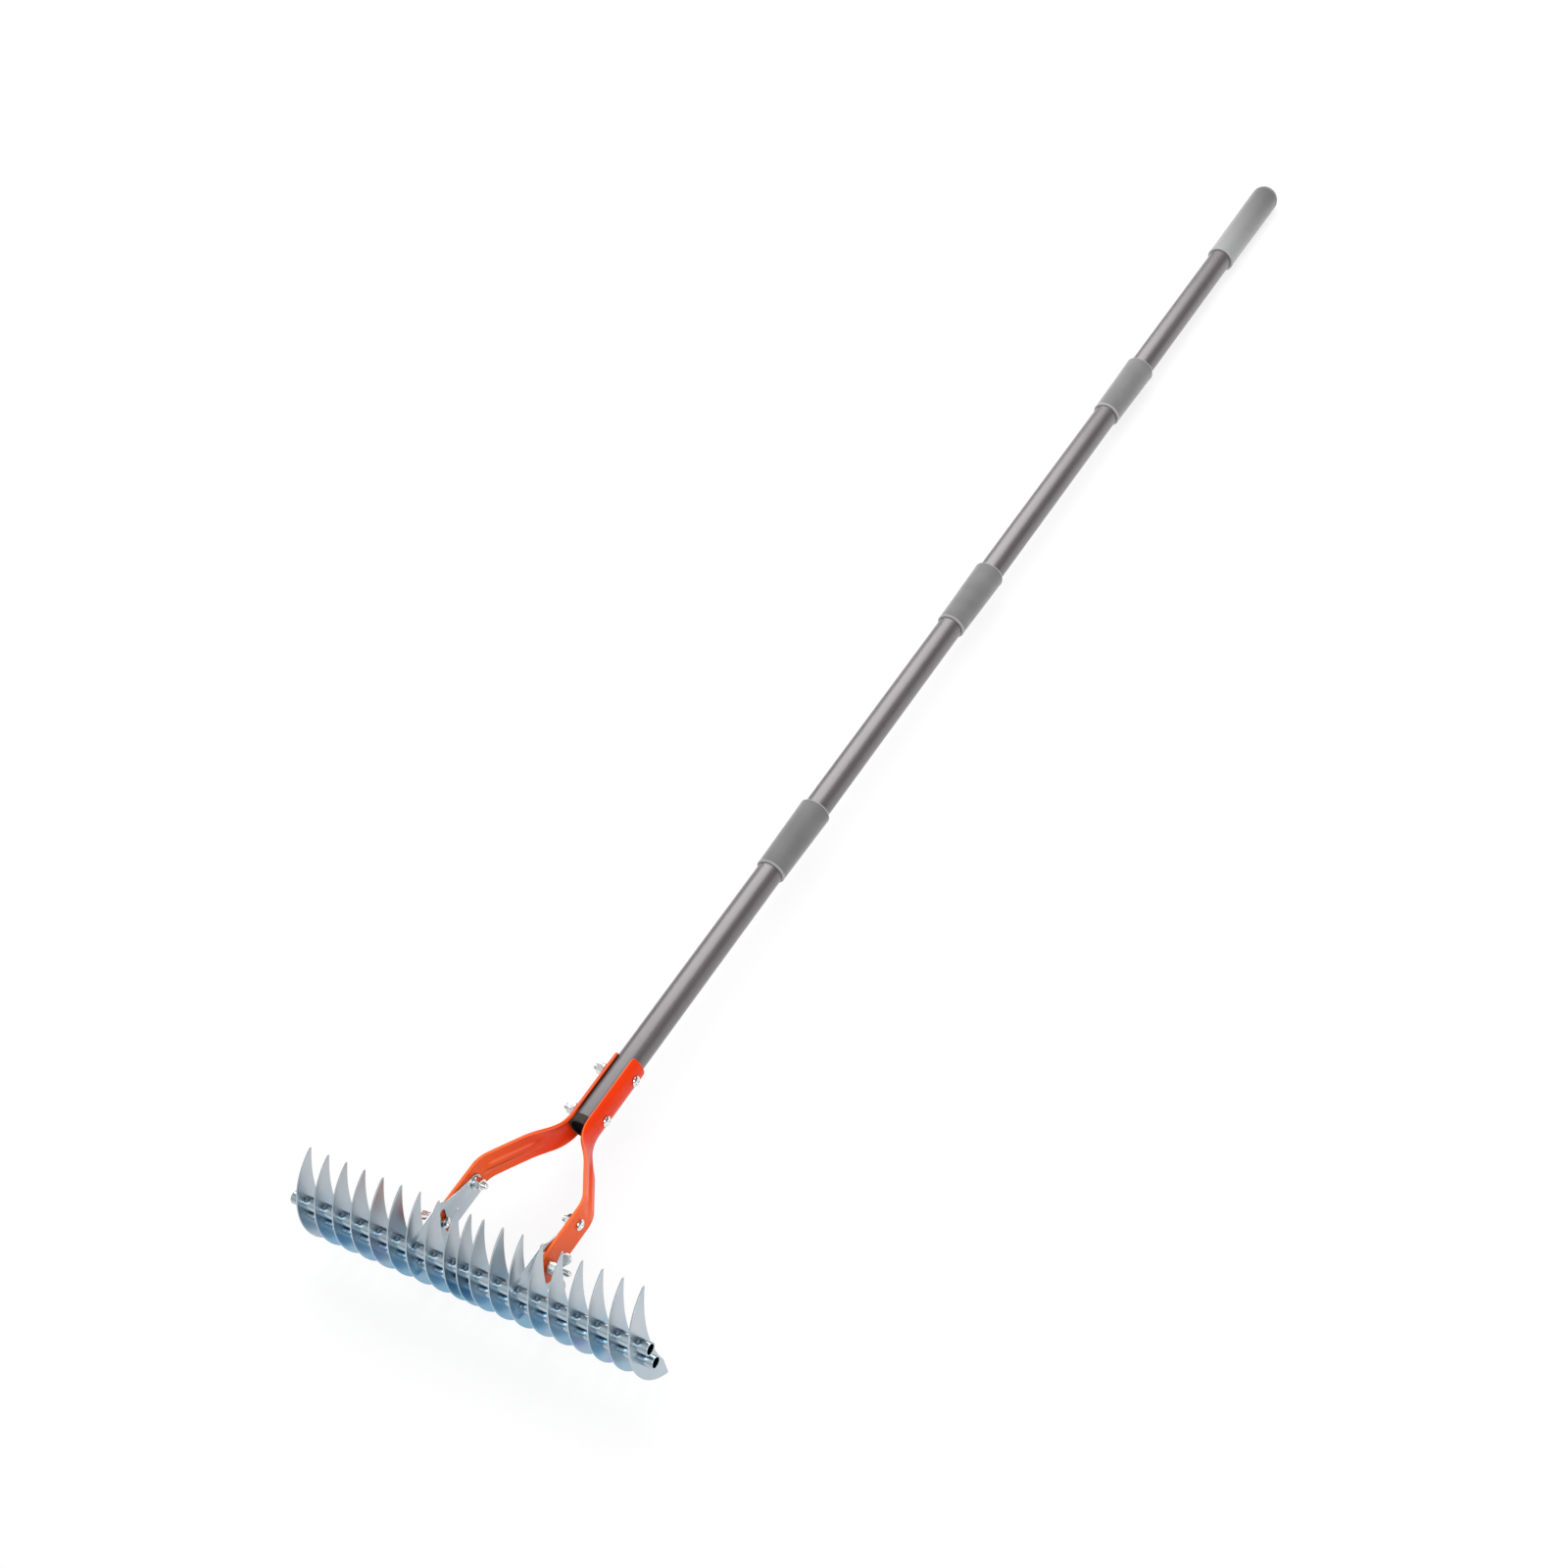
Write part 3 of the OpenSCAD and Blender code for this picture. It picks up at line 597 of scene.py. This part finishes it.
# %% Both arms
strap, edge, lower, crease_shade = strap_surface()
for side, sign in (("left", -1), ("right", 1)):
    add_piece(
        "powder_coated_%s_arm" % side,
        *shells((strap * np.array([sign, 1, 1]), False, True)),
        red_paint,
        "yoke_and_handle",
        "red_paint",
        ["%s_arm" % side],
        marks={"edge": edge, "lower": lower, "crease_shade": crease_shade},
    )

# %% [markdown]
# ## Blades
# A blade is stamped from sheet: a crescent between a back arc and a hollow arc, with its lower tip cut off.
# The section across it, a thin rectangle with rounded edges, is carried down from the claw's tip to the cut.

# %% Plain blades
blade_half_t = 0.75
hollow_r, hollow_shift = 114.5, 81.0
centre_gap, blade_gap = 13.5, 20.0
outer_place, bracket_place = 9, 3
places = range(-outer_place, outer_place + 1)
outer_film_and_reflection = 0.25


def blade_x(place):
    """Place of a blade across the head, counted from the middle one, which has smaller gaps."""
    return 0.0 if place == 0 else np.sign(place) * (centre_gap + (abs(place) - 1) * blade_gap)


def depth_at(x, z):
    """Mark of the film's colour, partly painted reflection: 0 on claws and plate arms, 1 on a blade's body,
    less at its lowest edge.
    """
    return (1 - ease(z, -12.0, 34.0)) * (1 - ease(x, -38.0, -24.0)) * (0.5 + 0.5 * ease(z, -58.0, -30.0))


def arc(centre_x, r, start, end, count):
    """Points on a circle about (centre_x, 0) from one angle to another."""
    a = np.linspace(start, end, count)
    return np.stack([centre_x + r * np.cos(a), r * np.sin(a)], 1)


tip_x = (hollow_shift**2 + back_r**2 - hollow_r**2) / (2 * hollow_shift)
tip_z = np.sqrt(back_r**2 - tip_x**2)
back_tip = np.arctan2(tip_z, tip_x)
back_cut = 2 * np.pi - np.arccos(-corner_reach / back_r)
hollow_tip = np.arctan2(tip_z, tip_x - hollow_shift)
hollow_cut = 2 * np.pi - np.arccos((-corner_reach - hollow_shift) / hollow_r)


def crescent_surface():
    """A section between the two edges, at u from the tip to the cut and w round the section.

    The faces run from edge to edge, and a superellipse rounds the edges. The thickness closes at both ends.
    """
    tip_taper, cut_round, edge_round = 3.0, 0.3, 0.22
    along_count, across_count = 90, 15
    back = arc(0.0, back_r, back_tip, back_cut, along_count)
    hollow = arc(hollow_shift, hollow_r, hollow_tip, hollow_cut, along_count)
    middle = (back + hollow) / 2
    across = (back - hollow) / 2
    half = np.linalg.norm(across, axis=1)[:, None]
    way = across / np.maximum(half, 1e-9)
    way[0] = way[1]
    half[0] = 0
    run = np.concatenate([[0], np.cumsum(np.linalg.norm(np.diff(middle, axis=0), axis=1))])[:, None]
    close = np.clip(np.minimum(run / tip_taper, (run[-1] - run) / cut_round), 0, 1)
    thick = blade_half_t * (1 - (1 - close) ** 2) ** 0.5
    bend = np.linspace(np.pi / 2, -np.pi / 2, 9)[1:-1]
    edge_r = np.minimum(edge_round, half)
    tuck = edge_r * np.cos(bend)[None, :] ** 0.7
    off = np.sign(np.sin(bend)) * np.abs(np.sin(bend)) ** 0.35
    flat = np.linspace(-1, 1, across_count)
    v_face = flat[None, :] * (half - edge_r)
    v_edge = half - edge_r + tuck
    v = np.concatenate([v_face, v_edge, v_face[:, ::-1], -v_edge], 1)
    n = np.concatenate([np.ones(across_count), off, -np.ones(across_count), -off])[None, :] * thick
    side = middle[:, None, :] + v[..., None] * way[:, None, :]
    grid = np.stack([n, side[..., 0] - head_reach, side[..., 1] + blade_rise], -1)
    return grid, depth_at(side[..., 0], side[..., 1])


plate, depth = crescent_surface()
for place in places:
    if abs(place) != bracket_place:
        name = "blade_%02d" % (place + outer_place + 1)
        shape = shells((plate + np.array([blade_x(place), 0, 0]), False, True))
        # The open outer blades get less film colour: the painted reflection between blades is weaker there.
        marks = {"depth": depth * (outer_film_and_reflection if abs(place) == outer_place else 1.0)}
        add_piece("stamped_" + name, *shape, zinc, "head", "zinc", [name], marks=marks)

# %% [markdown]
# ## Bracket blades
# Two blades carry a plate arm with a pivot hole and an arc slot. A plate with holes isn't one simple grid, so
# its outlines are worked out as arrays and given to a flat curve, which fills between them and bevels the
# edges. The curve is then made a mesh and put in its place.


# %% Outline of a bracket blade
def circle(cx, cy, r):
    """A full circle of points."""
    a = np.linspace(0, 2 * np.pi, 48, endpoint=False)
    return np.stack([cx + r * np.cos(a), cy + r * np.sin(a)], 1)


pivot_at = np.array([head_reach + pivot_y, pivot_z - blade_rise])
slot_reach, slot_half, slot_w, slot_edge = 45.0, np.radians(15.0), 6.5, 9.0
neck_x = slot_reach - slot_edge - slot_w / 2
hump_x = slot_reach * np.cos(slot_half)
hump_up = slot_reach * np.sin(slot_half) + slot_w / 2 + slot_edge
end_r, plate_drop, plate_neck, meet_lift = 7.5, 14.5, 16.0, 0.4


def hollow_at(height):
    """The hollow edge's angle at a height above the back arc's centre."""
    return np.pi - np.arcsin(height / hollow_r)


meet_high = pivot_at[1] + hump_up
meet_low = pivot_at[1] - hump_up - slot_edge / 2 + meet_lift
quarter = np.linspace(0, np.pi / 2, 9)
plate_end = np.stack([end_r * np.sin(quarter), end_r * np.cos(quarter)], 1)
plate_foot = np.stack([end_r * np.cos(quarter), end_r - plate_drop - end_r * np.sin(quarter)], 1)
knee_high = np.array([[-hump_x, hump_up], [-neck_x, plate_neck]])
knee_low = np.array([[-neck_x, -plate_drop], [-hump_x, slot_edge / 3 - hump_up]])
bracket_outline = np.concatenate(
    [
        arc(0.0, back_r, back_cut, back_tip, 80),
        arc(hollow_shift, hollow_r, hollow_tip, hollow_at(meet_high), 30)[1:],
        pivot_at + knee_high,
        pivot_at + plate_end,
        pivot_at + plate_foot,
        pivot_at + knee_low,
        arc(hollow_shift, hollow_r, hollow_at(meet_low), hollow_cut, 20),
    ]
)
bow = np.linspace(-slot_half, slot_half, 17)
nose = np.linspace(0, np.pi, 13)[1:-1]


def slot_arc(r, a):
    """A point about the pivot at an angle a above the slot's middle."""
    return np.stack([-r * np.cos(a), r * np.sin(a)], -1)


slot_outline = pivot_at + np.concatenate(
    [
        slot_arc(slot_reach + slot_w / 2, bow),
        slot_arc(slot_reach, slot_half) + slot_arc(slot_w / 2, slot_half + nose),
        slot_arc(slot_reach - slot_w / 2, -bow),
        slot_arc(slot_reach, -slot_half) + slot_arc(slot_w / 2, np.pi - slot_half + nose),
    ]
)
bar_inset, bar_rise, bar_pitch, bar_r = 14.0, 4.6, 19.3, 6.0
bar_back = -(back_r - bar_inset)
bar_up = {"upper": bar_rise + bar_pitch / 2, "lower": bar_rise - bar_pitch / 2}
pivot_hole_r, bar_hole_r = 3.1, bar_r + 0.05
bracket_holes = [
    slot_outline,
    circle(*pivot_at, pivot_hole_r),
    circle(bar_back, bar_up["upper"], bar_hole_r),
    circle(bar_back, bar_up["lower"], bar_hole_r),
]
print("bracket outline: %d points, %d holes" % (len(bracket_outline), len(bracket_holes)))


# %% The plate as a filled flat curve
def flat_plate(outlines, half_t, bevel):
    """Fills between closed outlines and bevels the edges inwards; gives the mesh's points and faces."""
    sheet = bpy.data.curves.new("plate_outline", "CURVE")
    sheet.dimensions = "2D"
    sheet.fill_mode = "BOTH"
    sheet.extrude = half_t - bevel
    sheet.bevel_depth = bevel
    sheet.bevel_resolution = 2
    sheet.offset = -bevel
    for outline in outlines:
        spline = sheet.splines.new("POLY")
        spline.points.add(len(outline) - 1)
        flat = np.column_stack([outline, np.zeros(len(outline)), np.ones(len(outline))])
        spline.points.foreach_set("co", flat.ravel())
        spline.use_cyclic_u = True
    holder = bpy.data.objects.new("plate_outline", sheet)
    bpy.context.scene.collection.objects.link(holder)
    bpy.context.view_layer.update()
    mesh = bpy.data.meshes.new_from_object(holder.evaluated_get(bpy.context.evaluated_depsgraph_get()))
    points = np.empty(len(mesh.vertices) * 3)
    mesh.vertices.foreach_get("co", points)
    faces = [list(f.vertices) for f in mesh.polygons]
    bpy.data.objects.remove(holder)
    bpy.data.curves.remove(sheet)
    bpy.data.meshes.remove(mesh)
    return points.reshape(-1, 3), faces


plate_bevel, tone_r = 0.2, 17.0
plate_points, plate_faces = flat_plate([bracket_outline] + bracket_holes, blade_half_t, plate_bevel)
across_x, up_z, through = plate_points.T
from_slot = np.hypot(across_x - pivot_at[0] + slot_reach, up_z - pivot_at[1])
# tone is painted shade, a little over the whole plate and most round the slot.
marks = {"depth": depth_at(across_x, up_z), "tone": 0.1 + 0.5 * np.exp(-((from_slot / tone_r) ** 4))}
for side, place in (("left", -bracket_place), ("right", bracket_place)):
    upright = np.stack([through + blade_x(place), across_x - head_reach, up_z + blade_rise], 1)
    name = side + "_bracket_blade"
    add_piece("stamped_" + name, upright, plate_faces, zinc, "head", "zinc", [name], marks=marks)

# %% [markdown]
# ## Crossbars
# Two open tubes pass through all the blades and are crimped beside each one, so that no blade can slide. The
# wall of the tube is turned about X, and each crimp presses a small oval dent into it: a bump in x times a
# bump in angle.

# %% Crossbars
overhang, press_depth, pit_depth = 13.0, 0.3, 0.5
bar_half = blade_x(outer_place) + overhang


def crossbar_surface(crimp_angle, crimp_half, pitted):
    """The tube's wall at place w round its profile and angle a, crimped on the right of each blade.

    A crimp is a shallow press, and on a pitted bar it has a round pit in it. The mark, shade, is painted
    shade, set on the press round the pit and in the bore.
    """
    x = np.linspace(-bar_half + 0.3, bar_half - 0.3, 1100)
    lip = np.array([(bar_half - 0.06, 5.85), (bar_half, 5.6), (bar_half, 4.9), (bar_half - 0.15, 4.65)])
    bore = np.array([(bar_half - 0.5, 4.55), (bar_half - 1.2, 5.0)])
    flip = np.array([-1, 1])
    outer = np.stack([x, np.full_like(x, bar_r)], 1)
    wall = np.concatenate([outer, lip, bore, bore[::-1] * flip, lip[::-1] * flip])
    in_bore = np.concatenate([0 * x, np.zeros(4), np.ones(4), np.zeros(4)])[:, None]
    a = np.linspace(0, 2 * np.pi, 72, endpoint=False)[None, :]
    along, r = wall[:, :1], wall[:, 1:]
    outside = r > bar_r - 0.05
    past_blade = along - np.array([blade_x(p) + blade_half_t for p in places])[None, :]
    sideways = np.angle(np.exp(1j * (a - np.radians(crimp_angle))))
    long_way = np.exp(-(((past_blade - 1.5) / crimp_half) ** 4)).sum(1, keepdims=True)
    press = long_way * np.exp(-((sideways / 0.5) ** 4))
    pit_long_way = np.exp(-(((past_blade - 2.3) / 1.3) ** 2)).sum(1, keepdims=True)
    pit = pitted * pit_long_way * np.exp(-((sideways / 0.26) ** 2))
    # shade is painted shade on the crimps, left off their pits, and in the bore.
    shade = np.maximum(outside * 0.9 * press * (1 - pit), in_bore)
    r = r - outside * (press_depth * press + pit_depth * pit)
    grid = np.stack([along + 0 * a, bar_back - head_reach + r * np.cos(a), blade_rise + r * np.sin(a)], -1)
    return grid, shade


for bar, crimp_angle, crimp_half, pitted in (("upper", 97.0, 3.9, 1.0), ("lower", 106.0, 3.6, 0.0)):
    tube, shade = crossbar_surface(crimp_angle, crimp_half, pitted)
    shape = shells((tube + np.array([0, 0, bar_up[bar]]), True, True))
    name = bar + "_crossbar"
    add_piece("crimped_" + name, *shape, bar_zinc, "head", "zinc", [name], marks={"shade": shade})

# %% [markdown]
# ## Bolts, washers and nuts
# Every joint of the yoke has a pan-head bolt with a cross recess, a washer and a nut. Each bolt runs along X,
# so a fastener's shape is worked out about its own Z axis and then turned onto X. A fastener is written as
# the Y and Z of its axis, the X of the faces under its head and its washer, and the turn of its nut in
# degrees.

# %% Places of the fasteners
bolt_r, washer_t, hex_h, nut_body, nut_travel = 3.0, 1.6, 6.0, 8.0, 3.0
bolt_stub, slot_stub, slide_gap = 4.5, 8.0, 0.2
plate_inner = blade_x(bracket_place) - blade_half_t
plate_seat, slot_seat = plate_inner - slide_gap, arm_outer + slide_gap
clamp_outer = clamp_mid + strap_t / 2
upper_clamp_y, lower_clamp_y = 63.5, 16.3
fasteners = {
    "upper_clamp": (upper_clamp_y, 0.0, clamp_outer, -clamp_outer, 10),
    "lower_clamp": (lower_clamp_y, 0.0, clamp_outer, -clamp_outer, 25),
    "left_pivot": (pivot_y, pivot_z, -arm_outer, -plate_seat, 15),
    "right_pivot": (pivot_y, pivot_z, arm_outer, plate_seat, 0),
    "left_slot": (slot_y, pivot_z, -plate_seat, -slot_seat, 135),
    "right_slot": (slot_y, pivot_z, plate_seat, slot_seat, 136),
}


def on_fastener(grid, f, x):
    """Turns a shape's Z axis along the bolt, from the face at X = x onwards."""
    y, z, head, washer, _ = f
    way = np.sign(washer - head)
    return np.stack([x + way * grid[..., 2], y + grid[..., 1], z - way * grid[..., 0]], -1)


def nut_seat(name):
    """Where the nut starts: past the washer, with a little play under a wing nut."""
    _, _, head, washer, _ = fasteners[name]
    return washer + np.sign(washer - head) * (washer_t + (slide_gap if "slot" in name else 0.0))


print("fasteners:", ", ".join(fasteners))


# %% Bolts
bolt_sides = 72
head_r, head_h, dome_r = 5.0, 3.4, 6.5
cross_half, cross_thin, cross_depth = 2.5, 0.6, 1.5
thread_depth, thread_lead = 0.55, 0.75


def bolt_surface(length):
    """A bolt about its Z axis, from the crown of its head to the end of its thread.

    The head's crown is a dome less a cross-shaped recess, each arm of which is a smooth box in x and y. Below
    the head the radius follows a triangle wave in height minus angle, which is a screw thread of 1 mm pitch.
    """
    a = np.linspace(0, 2 * np.pi, bolt_sides, endpoint=False)[None, :]
    q = np.linspace(0, 1, 26)[:, None]
    r = head_r * q**0.8
    x, y = r * np.cos(a), r * np.sin(a)
    long_x, long_y = 1 / (1 + (np.abs(x) / cross_half) ** 12), 1 / (1 + (np.abs(y) / cross_half) ** 12)
    thin_x, thin_y = 1 / (1 + (np.abs(x) / cross_thin) ** 8), 1 / (1 + (np.abs(y) / cross_thin) ** 8)
    cross = np.maximum(long_x * thin_y, long_y * thin_x)
    crown = -head_h + dome_r - np.sqrt(dome_r**2 - r**2)
    crown = crown + cross_depth * cross * np.clip(1.15 - r / 2.8, 0, 1)
    top = np.stack([x, y, crown], -1)
    brim = turned([(head_r, -0.7), (4.9, -0.2), (4.7, 0.0), (bolt_r, 0.0)], bolt_sides)
    h = np.arange(0.0, length - thread_lead, 0.125)[:, None]
    wave = np.abs(((h - a / (2 * np.pi)) % 1.0) - 0.5) * 2
    near_end = np.clip((length - thread_lead - h) / thread_lead, 0, 1)
    r = bolt_r - 0.03 - thread_depth * wave * np.clip(h / 2.0, 0, 1) - 0.35 * (1 - near_end)
    thread = np.stack([r * np.cos(a), r * np.sin(a), h + 0 * a], -1)
    tail = turned([(2.3, length - 0.3), (2.0, length), (0.0, length)], bolt_sides)
    return np.concatenate([top, brim, thread, tail])


for name, f in fasteners.items():
    beyond = nut_body + nut_travel + slot_stub if "slot" in name else hex_h + bolt_stub
    length = abs(nut_seat(name) - f[2]) + beyond
    screw = on_fastener(bolt_surface(length), f, f[2])
    piece = name + "_bolt"
    shape = shells((screw, False, True))
    add_piece("threaded_" + piece, *shape, bright_zinc, "yoke_and_handle", "bright_zinc", [piece])


# %% Washers
washer_bore, washer_r = 3.2, 6.0
corners = [(washer_bore, 0), (washer_r, 0), (washer_r, washer_t), (washer_bore, washer_t)]
washer_profile = rounded(corners, 0.35, 4)
for name, f in fasteners.items():
    ring = on_fastener(turned(washer_profile, 64), f, f[3])
    piece = name + "_washer"
    body = piece if "slot" in name else "yoke_and_handle"
    add_piece("flat_" + piece, *shells((ring, True, True)), bright_zinc, body, "bright_zinc", [piece])


# %% Hexagon nuts
hex_sides, hex_flat, cone_r, cone_slope = 96, 5.0, 4.75, 1.7


def hex_nut_surface(turn):
    """A hexagon nut: at each angle the side is the hexagon's radius, cut by a cone at both ends."""
    a = np.linspace(0, 2 * np.pi, hex_sides, endpoint=False)[None, :]
    sector = (a - np.radians(turn)) % (np.pi / 3) - np.pi / 6
    corner = hex_flat / np.cos(sector)
    lift = np.array([0.0, 0.15, 0.3, 0.45, 0.6, 0.8])
    h = np.concatenate([lift, hex_h - lift[::-1]])[:, None]
    cone = cone_r + np.minimum(h, hex_h - h) * cone_slope
    r = np.minimum(corner, cone)
    side = np.stack([r * np.cos(a), r * np.sin(a), h + 0 * a], -1)
    low_bore = np.array([(3.05, 1.0), (3.05, 0.5), (3.5, 0.0)])
    high_bore = np.stack([low_bore[::-1, 0], hex_h - low_bore[::-1, 1]], 1)
    return np.concatenate([turned(low_bore, hex_sides), side, turned(high_bore, hex_sides)])


for name in ("upper_clamp", "lower_clamp", "left_pivot", "right_pivot"):
    f = fasteners[name]
    nut = on_fastener(hex_nut_surface(f[4]), f, nut_seat(name))
    piece = name + "_nut"
    shape = shells((nut, True, True))
    add_piece("hexagon_" + piece, *shape, bright_zinc, "yoke_and_handle", "bright_zinc", [piece])


# %% Wing nuts
ear_r, root_half, wing_half_t = 4.8, 3.3, 1.25
thin_start, thin_len = 3.6, 1.2


def wing_surface():
    """One wing: an oval section carried from the body out to the ear, where its half width closes round."""
    foot, ear = np.array([1.5, 4.6]), np.array([11.7, 12.2])
    way = (ear - foot) / np.linalg.norm(ear - foot)
    across = np.array([-way[1], way[0]])
    reach = np.linalg.norm(ear - foot)
    round_end = reach + ear_r * np.sin(np.linspace(0, np.pi / 2, 12)[1:])
    s = np.concatenate([np.linspace(0, reach, 18), round_end])[:, None]
    half = root_half + (ear_r - root_half) * ease(s, 2.0, reach)
    half = np.where(s > reach, np.sqrt(np.maximum(0, ear_r**2 - (s - reach) ** 2)), half)
    thinned = np.clip(s - reach - thin_start, 0, thin_len) / thin_len
    thick = wing_half_t * np.minimum(1, np.sqrt(np.maximum(0, 1 - thinned**2)))
    a = np.linspace(0, 2 * np.pi, 40, endpoint=False)[None, :]
    v = half * np.sign(np.cos(a)) * np.abs(np.cos(a)) ** 0.7
    n = thick * np.sign(np.sin(a)) * np.abs(np.sin(a)) ** 0.5
    centre = foot + s * way
    return np.stack([centre[:, :1] + v * across[0], n, centre[:, 1:] + v * across[1]], -1)


def turn_about_z(grid, angle):
    """Turns a shape about its Z axis."""
    c, s = np.cos(angle), np.sin(angle)
    x, y, z = np.moveaxis(grid, -1, 0)
    return np.stack([c * x - s * y, s * x + c * y, z], -1)


nut_bore, nut_low_r, nut_high_r = 3.08, 6.5, 5.0
corners = [(nut_bore, 0), (nut_low_r, 0), (nut_high_r, nut_body), (nut_bore, nut_body)]
nut_profile = rounded(corners, [0.3, 0.5, 0.8, 0.4], 5)
wing = wing_surface()
for name in ("left_slot", "right_slot"):
    f = fasteners[name]
    turn = np.radians(f[4])
    parts = [turned(nut_profile, 64), turn_about_z(wing, turn), turn_about_z(wing, turn + np.pi)]
    parts = [on_fastener(p, f, nut_seat(name)) for p in parts]
    piece = name + "_wing_nut"
    add_piece(
        "winged_" + piece,
        *shells((parts[0], True, True), (parts[1], False, True), (parts[2], False, True)),
        bright_zinc,
        piece,
        "bright_zinc",
        [piece],
    )

# %% [markdown]
# ## Hidden inserts
# The screwed inserts inside the joints stay as the solids made them. They only need their own plastic.

# %% Finish of the inserts
for n in range(1, section_count):
    for kind in ("male_insert_%d", "female_insert_%d"):
        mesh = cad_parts[kind % n].data
        mesh.materials.clear()
        mesh.materials.append(insert_plastic)
        print(kind % n, "finished")

# %% [markdown]
# ## Floor, light and camera
# The photograph is a studio view on white. A pale floor keeps a soft shadow, and a share of plain white,
# mixed in for what the camera and the metal see of it, makes it the background. A large soft box over the
# handle draws the bright line along the tubes, and a second one beside the camera fills in the red arms. The
# walls of the studio shade from white in front to a dim grey behind, so that bare metal has something dark to
# show too. The camera's place and lens come from fitting the perspective of the photograph.

# %% Floor
floor_half, white_share = 40, 0.8
floor_corners = [(i * floor_half, j * floor_half, 0) for i, j in ((-1, -1), (1, -1), (1, 1), (-1, 1))]
floor_mesh = bpy.data.meshes.new("floor")
floor_mesh.from_pydata(floor_corners, [], [(0, 1, 2, 3)])
floor = bpy.data.objects.new("floor", floor_mesh)
bpy.context.scene.collection.objects.link(floor)
floor_finish, tree, shader = new_finish("pale_floor", 0.9)
shader.inputs["Base Color"].default_value = (0.86, 0.86, 0.86, 1)
white = tree.nodes.new("ShaderNodeEmission")
seen = tree.nodes.new("ShaderNodeLightPath")
share = tree.nodes.new("ShaderNodeMath")
share.operation = "MULTIPLY"
share.inputs[1].default_value = white_share
source = seen.outputs["Is Camera Ray"]
for ray in ("Is Glossy Ray", "Is Transmission Ray"):
    either = tree.nodes.new("ShaderNodeMath")
    either.operation = "MAXIMUM"
    tree.links.new(source, either.inputs[0])
    tree.links.new(seen.outputs[ray], either.inputs[1])
    source = either.outputs[0]
blend = tree.nodes.new("ShaderNodeMixShader")
tree.links.new(source, share.inputs[0])
tree.links.new(share.outputs[0], blend.inputs["Fac"])
tree.links.new(shader.outputs["BSDF"], blend.inputs[1])
tree.links.new(white.outputs["Emission"], blend.inputs[2])
tree.links.new(blend.outputs["Shader"], tree.nodes["Material Output"].inputs["Surface"])
floor_mesh.materials.append(floor_finish)
print("floor: %d m square" % (2 * floor_half))

# %% World
world = bpy.data.worlds.new("studio")
bpy.context.scene.world = world
world.use_nodes = True
tree = world.node_tree
coord = tree.nodes.new("ShaderNodeTexCoord")
front = tree.nodes.new("ShaderNodeVectorMath")
front.operation = "DOT_PRODUCT"
front.inputs[1].default_value = (0.0, -0.6, 0.8)
tree.links.new(coord.outputs["Generated"], front.inputs[0])
walls = ramp(
    tree,
    front.outputs["Value"],
    [(0.0, (0.15, 0.155, 0.165)), (1.0, (1.0, 1.0, 1.0)), (0.45, (0.40, 0.41, 0.42))],
)
tree.links.new(walls, tree.nodes["Background"].inputs["Color"])
tree.nodes["Background"].inputs["Strength"].default_value = 1.0
print("world:", world.name)

# %% Lamps
for name, place, aim, width, length, power in (
    ("long_box", (-0.62, 1.38, 1.85), (-0.05, 1.38, 0.0), 2.75, 3.4, 106.0),
    ("fill", (2.0, -1.8, 1.6), (0.0, -0.4, 0.0), 1.3, 1.3, 34.0),
):
    lamp = bpy.data.lights.new(name, "AREA")
    lamp.shape = "RECTANGLE"
    lamp.size = width
    lamp.size_y = length
    lamp.energy = power
    holder = bpy.data.objects.new(name, lamp)
    bpy.context.scene.collection.objects.link(holder)
    holder.location = place
    holder.rotation_mode = "QUATERNION"
    holder.rotation_quaternion = (Vector(aim) - Vector(place)).to_track_quat("-Z", "Y")
    print("lamp %s: %.1f by %.1f m, %.0f W" % (name, width, length, power))

# %% Camera
camera = bpy.data.cameras.new("camera")
camera.sensor_width = 36.0
camera.lens = 60.4346
camera.clip_start, camera.clip_end = 0.05, 50.0
holder = bpy.data.objects.new("camera", camera)
bpy.context.scene.collection.objects.link(holder)
holder.matrix_world = Matrix(
    (
        (0.8430356, -0.2489435, 0.4767789, 1.15769),
        (0.5001057, 0.6890498, -0.5245041, -1.54223),
        (-0.1979525, 0.6806154, 0.7053916, 1.82231),
        (0, 0, 0, 1),
    )
)
bpy.context.scene.camera = holder
bpy.context.scene.view_settings.view_transform = "Standard"
print("camera: %.1f mm lens" % camera.lens)
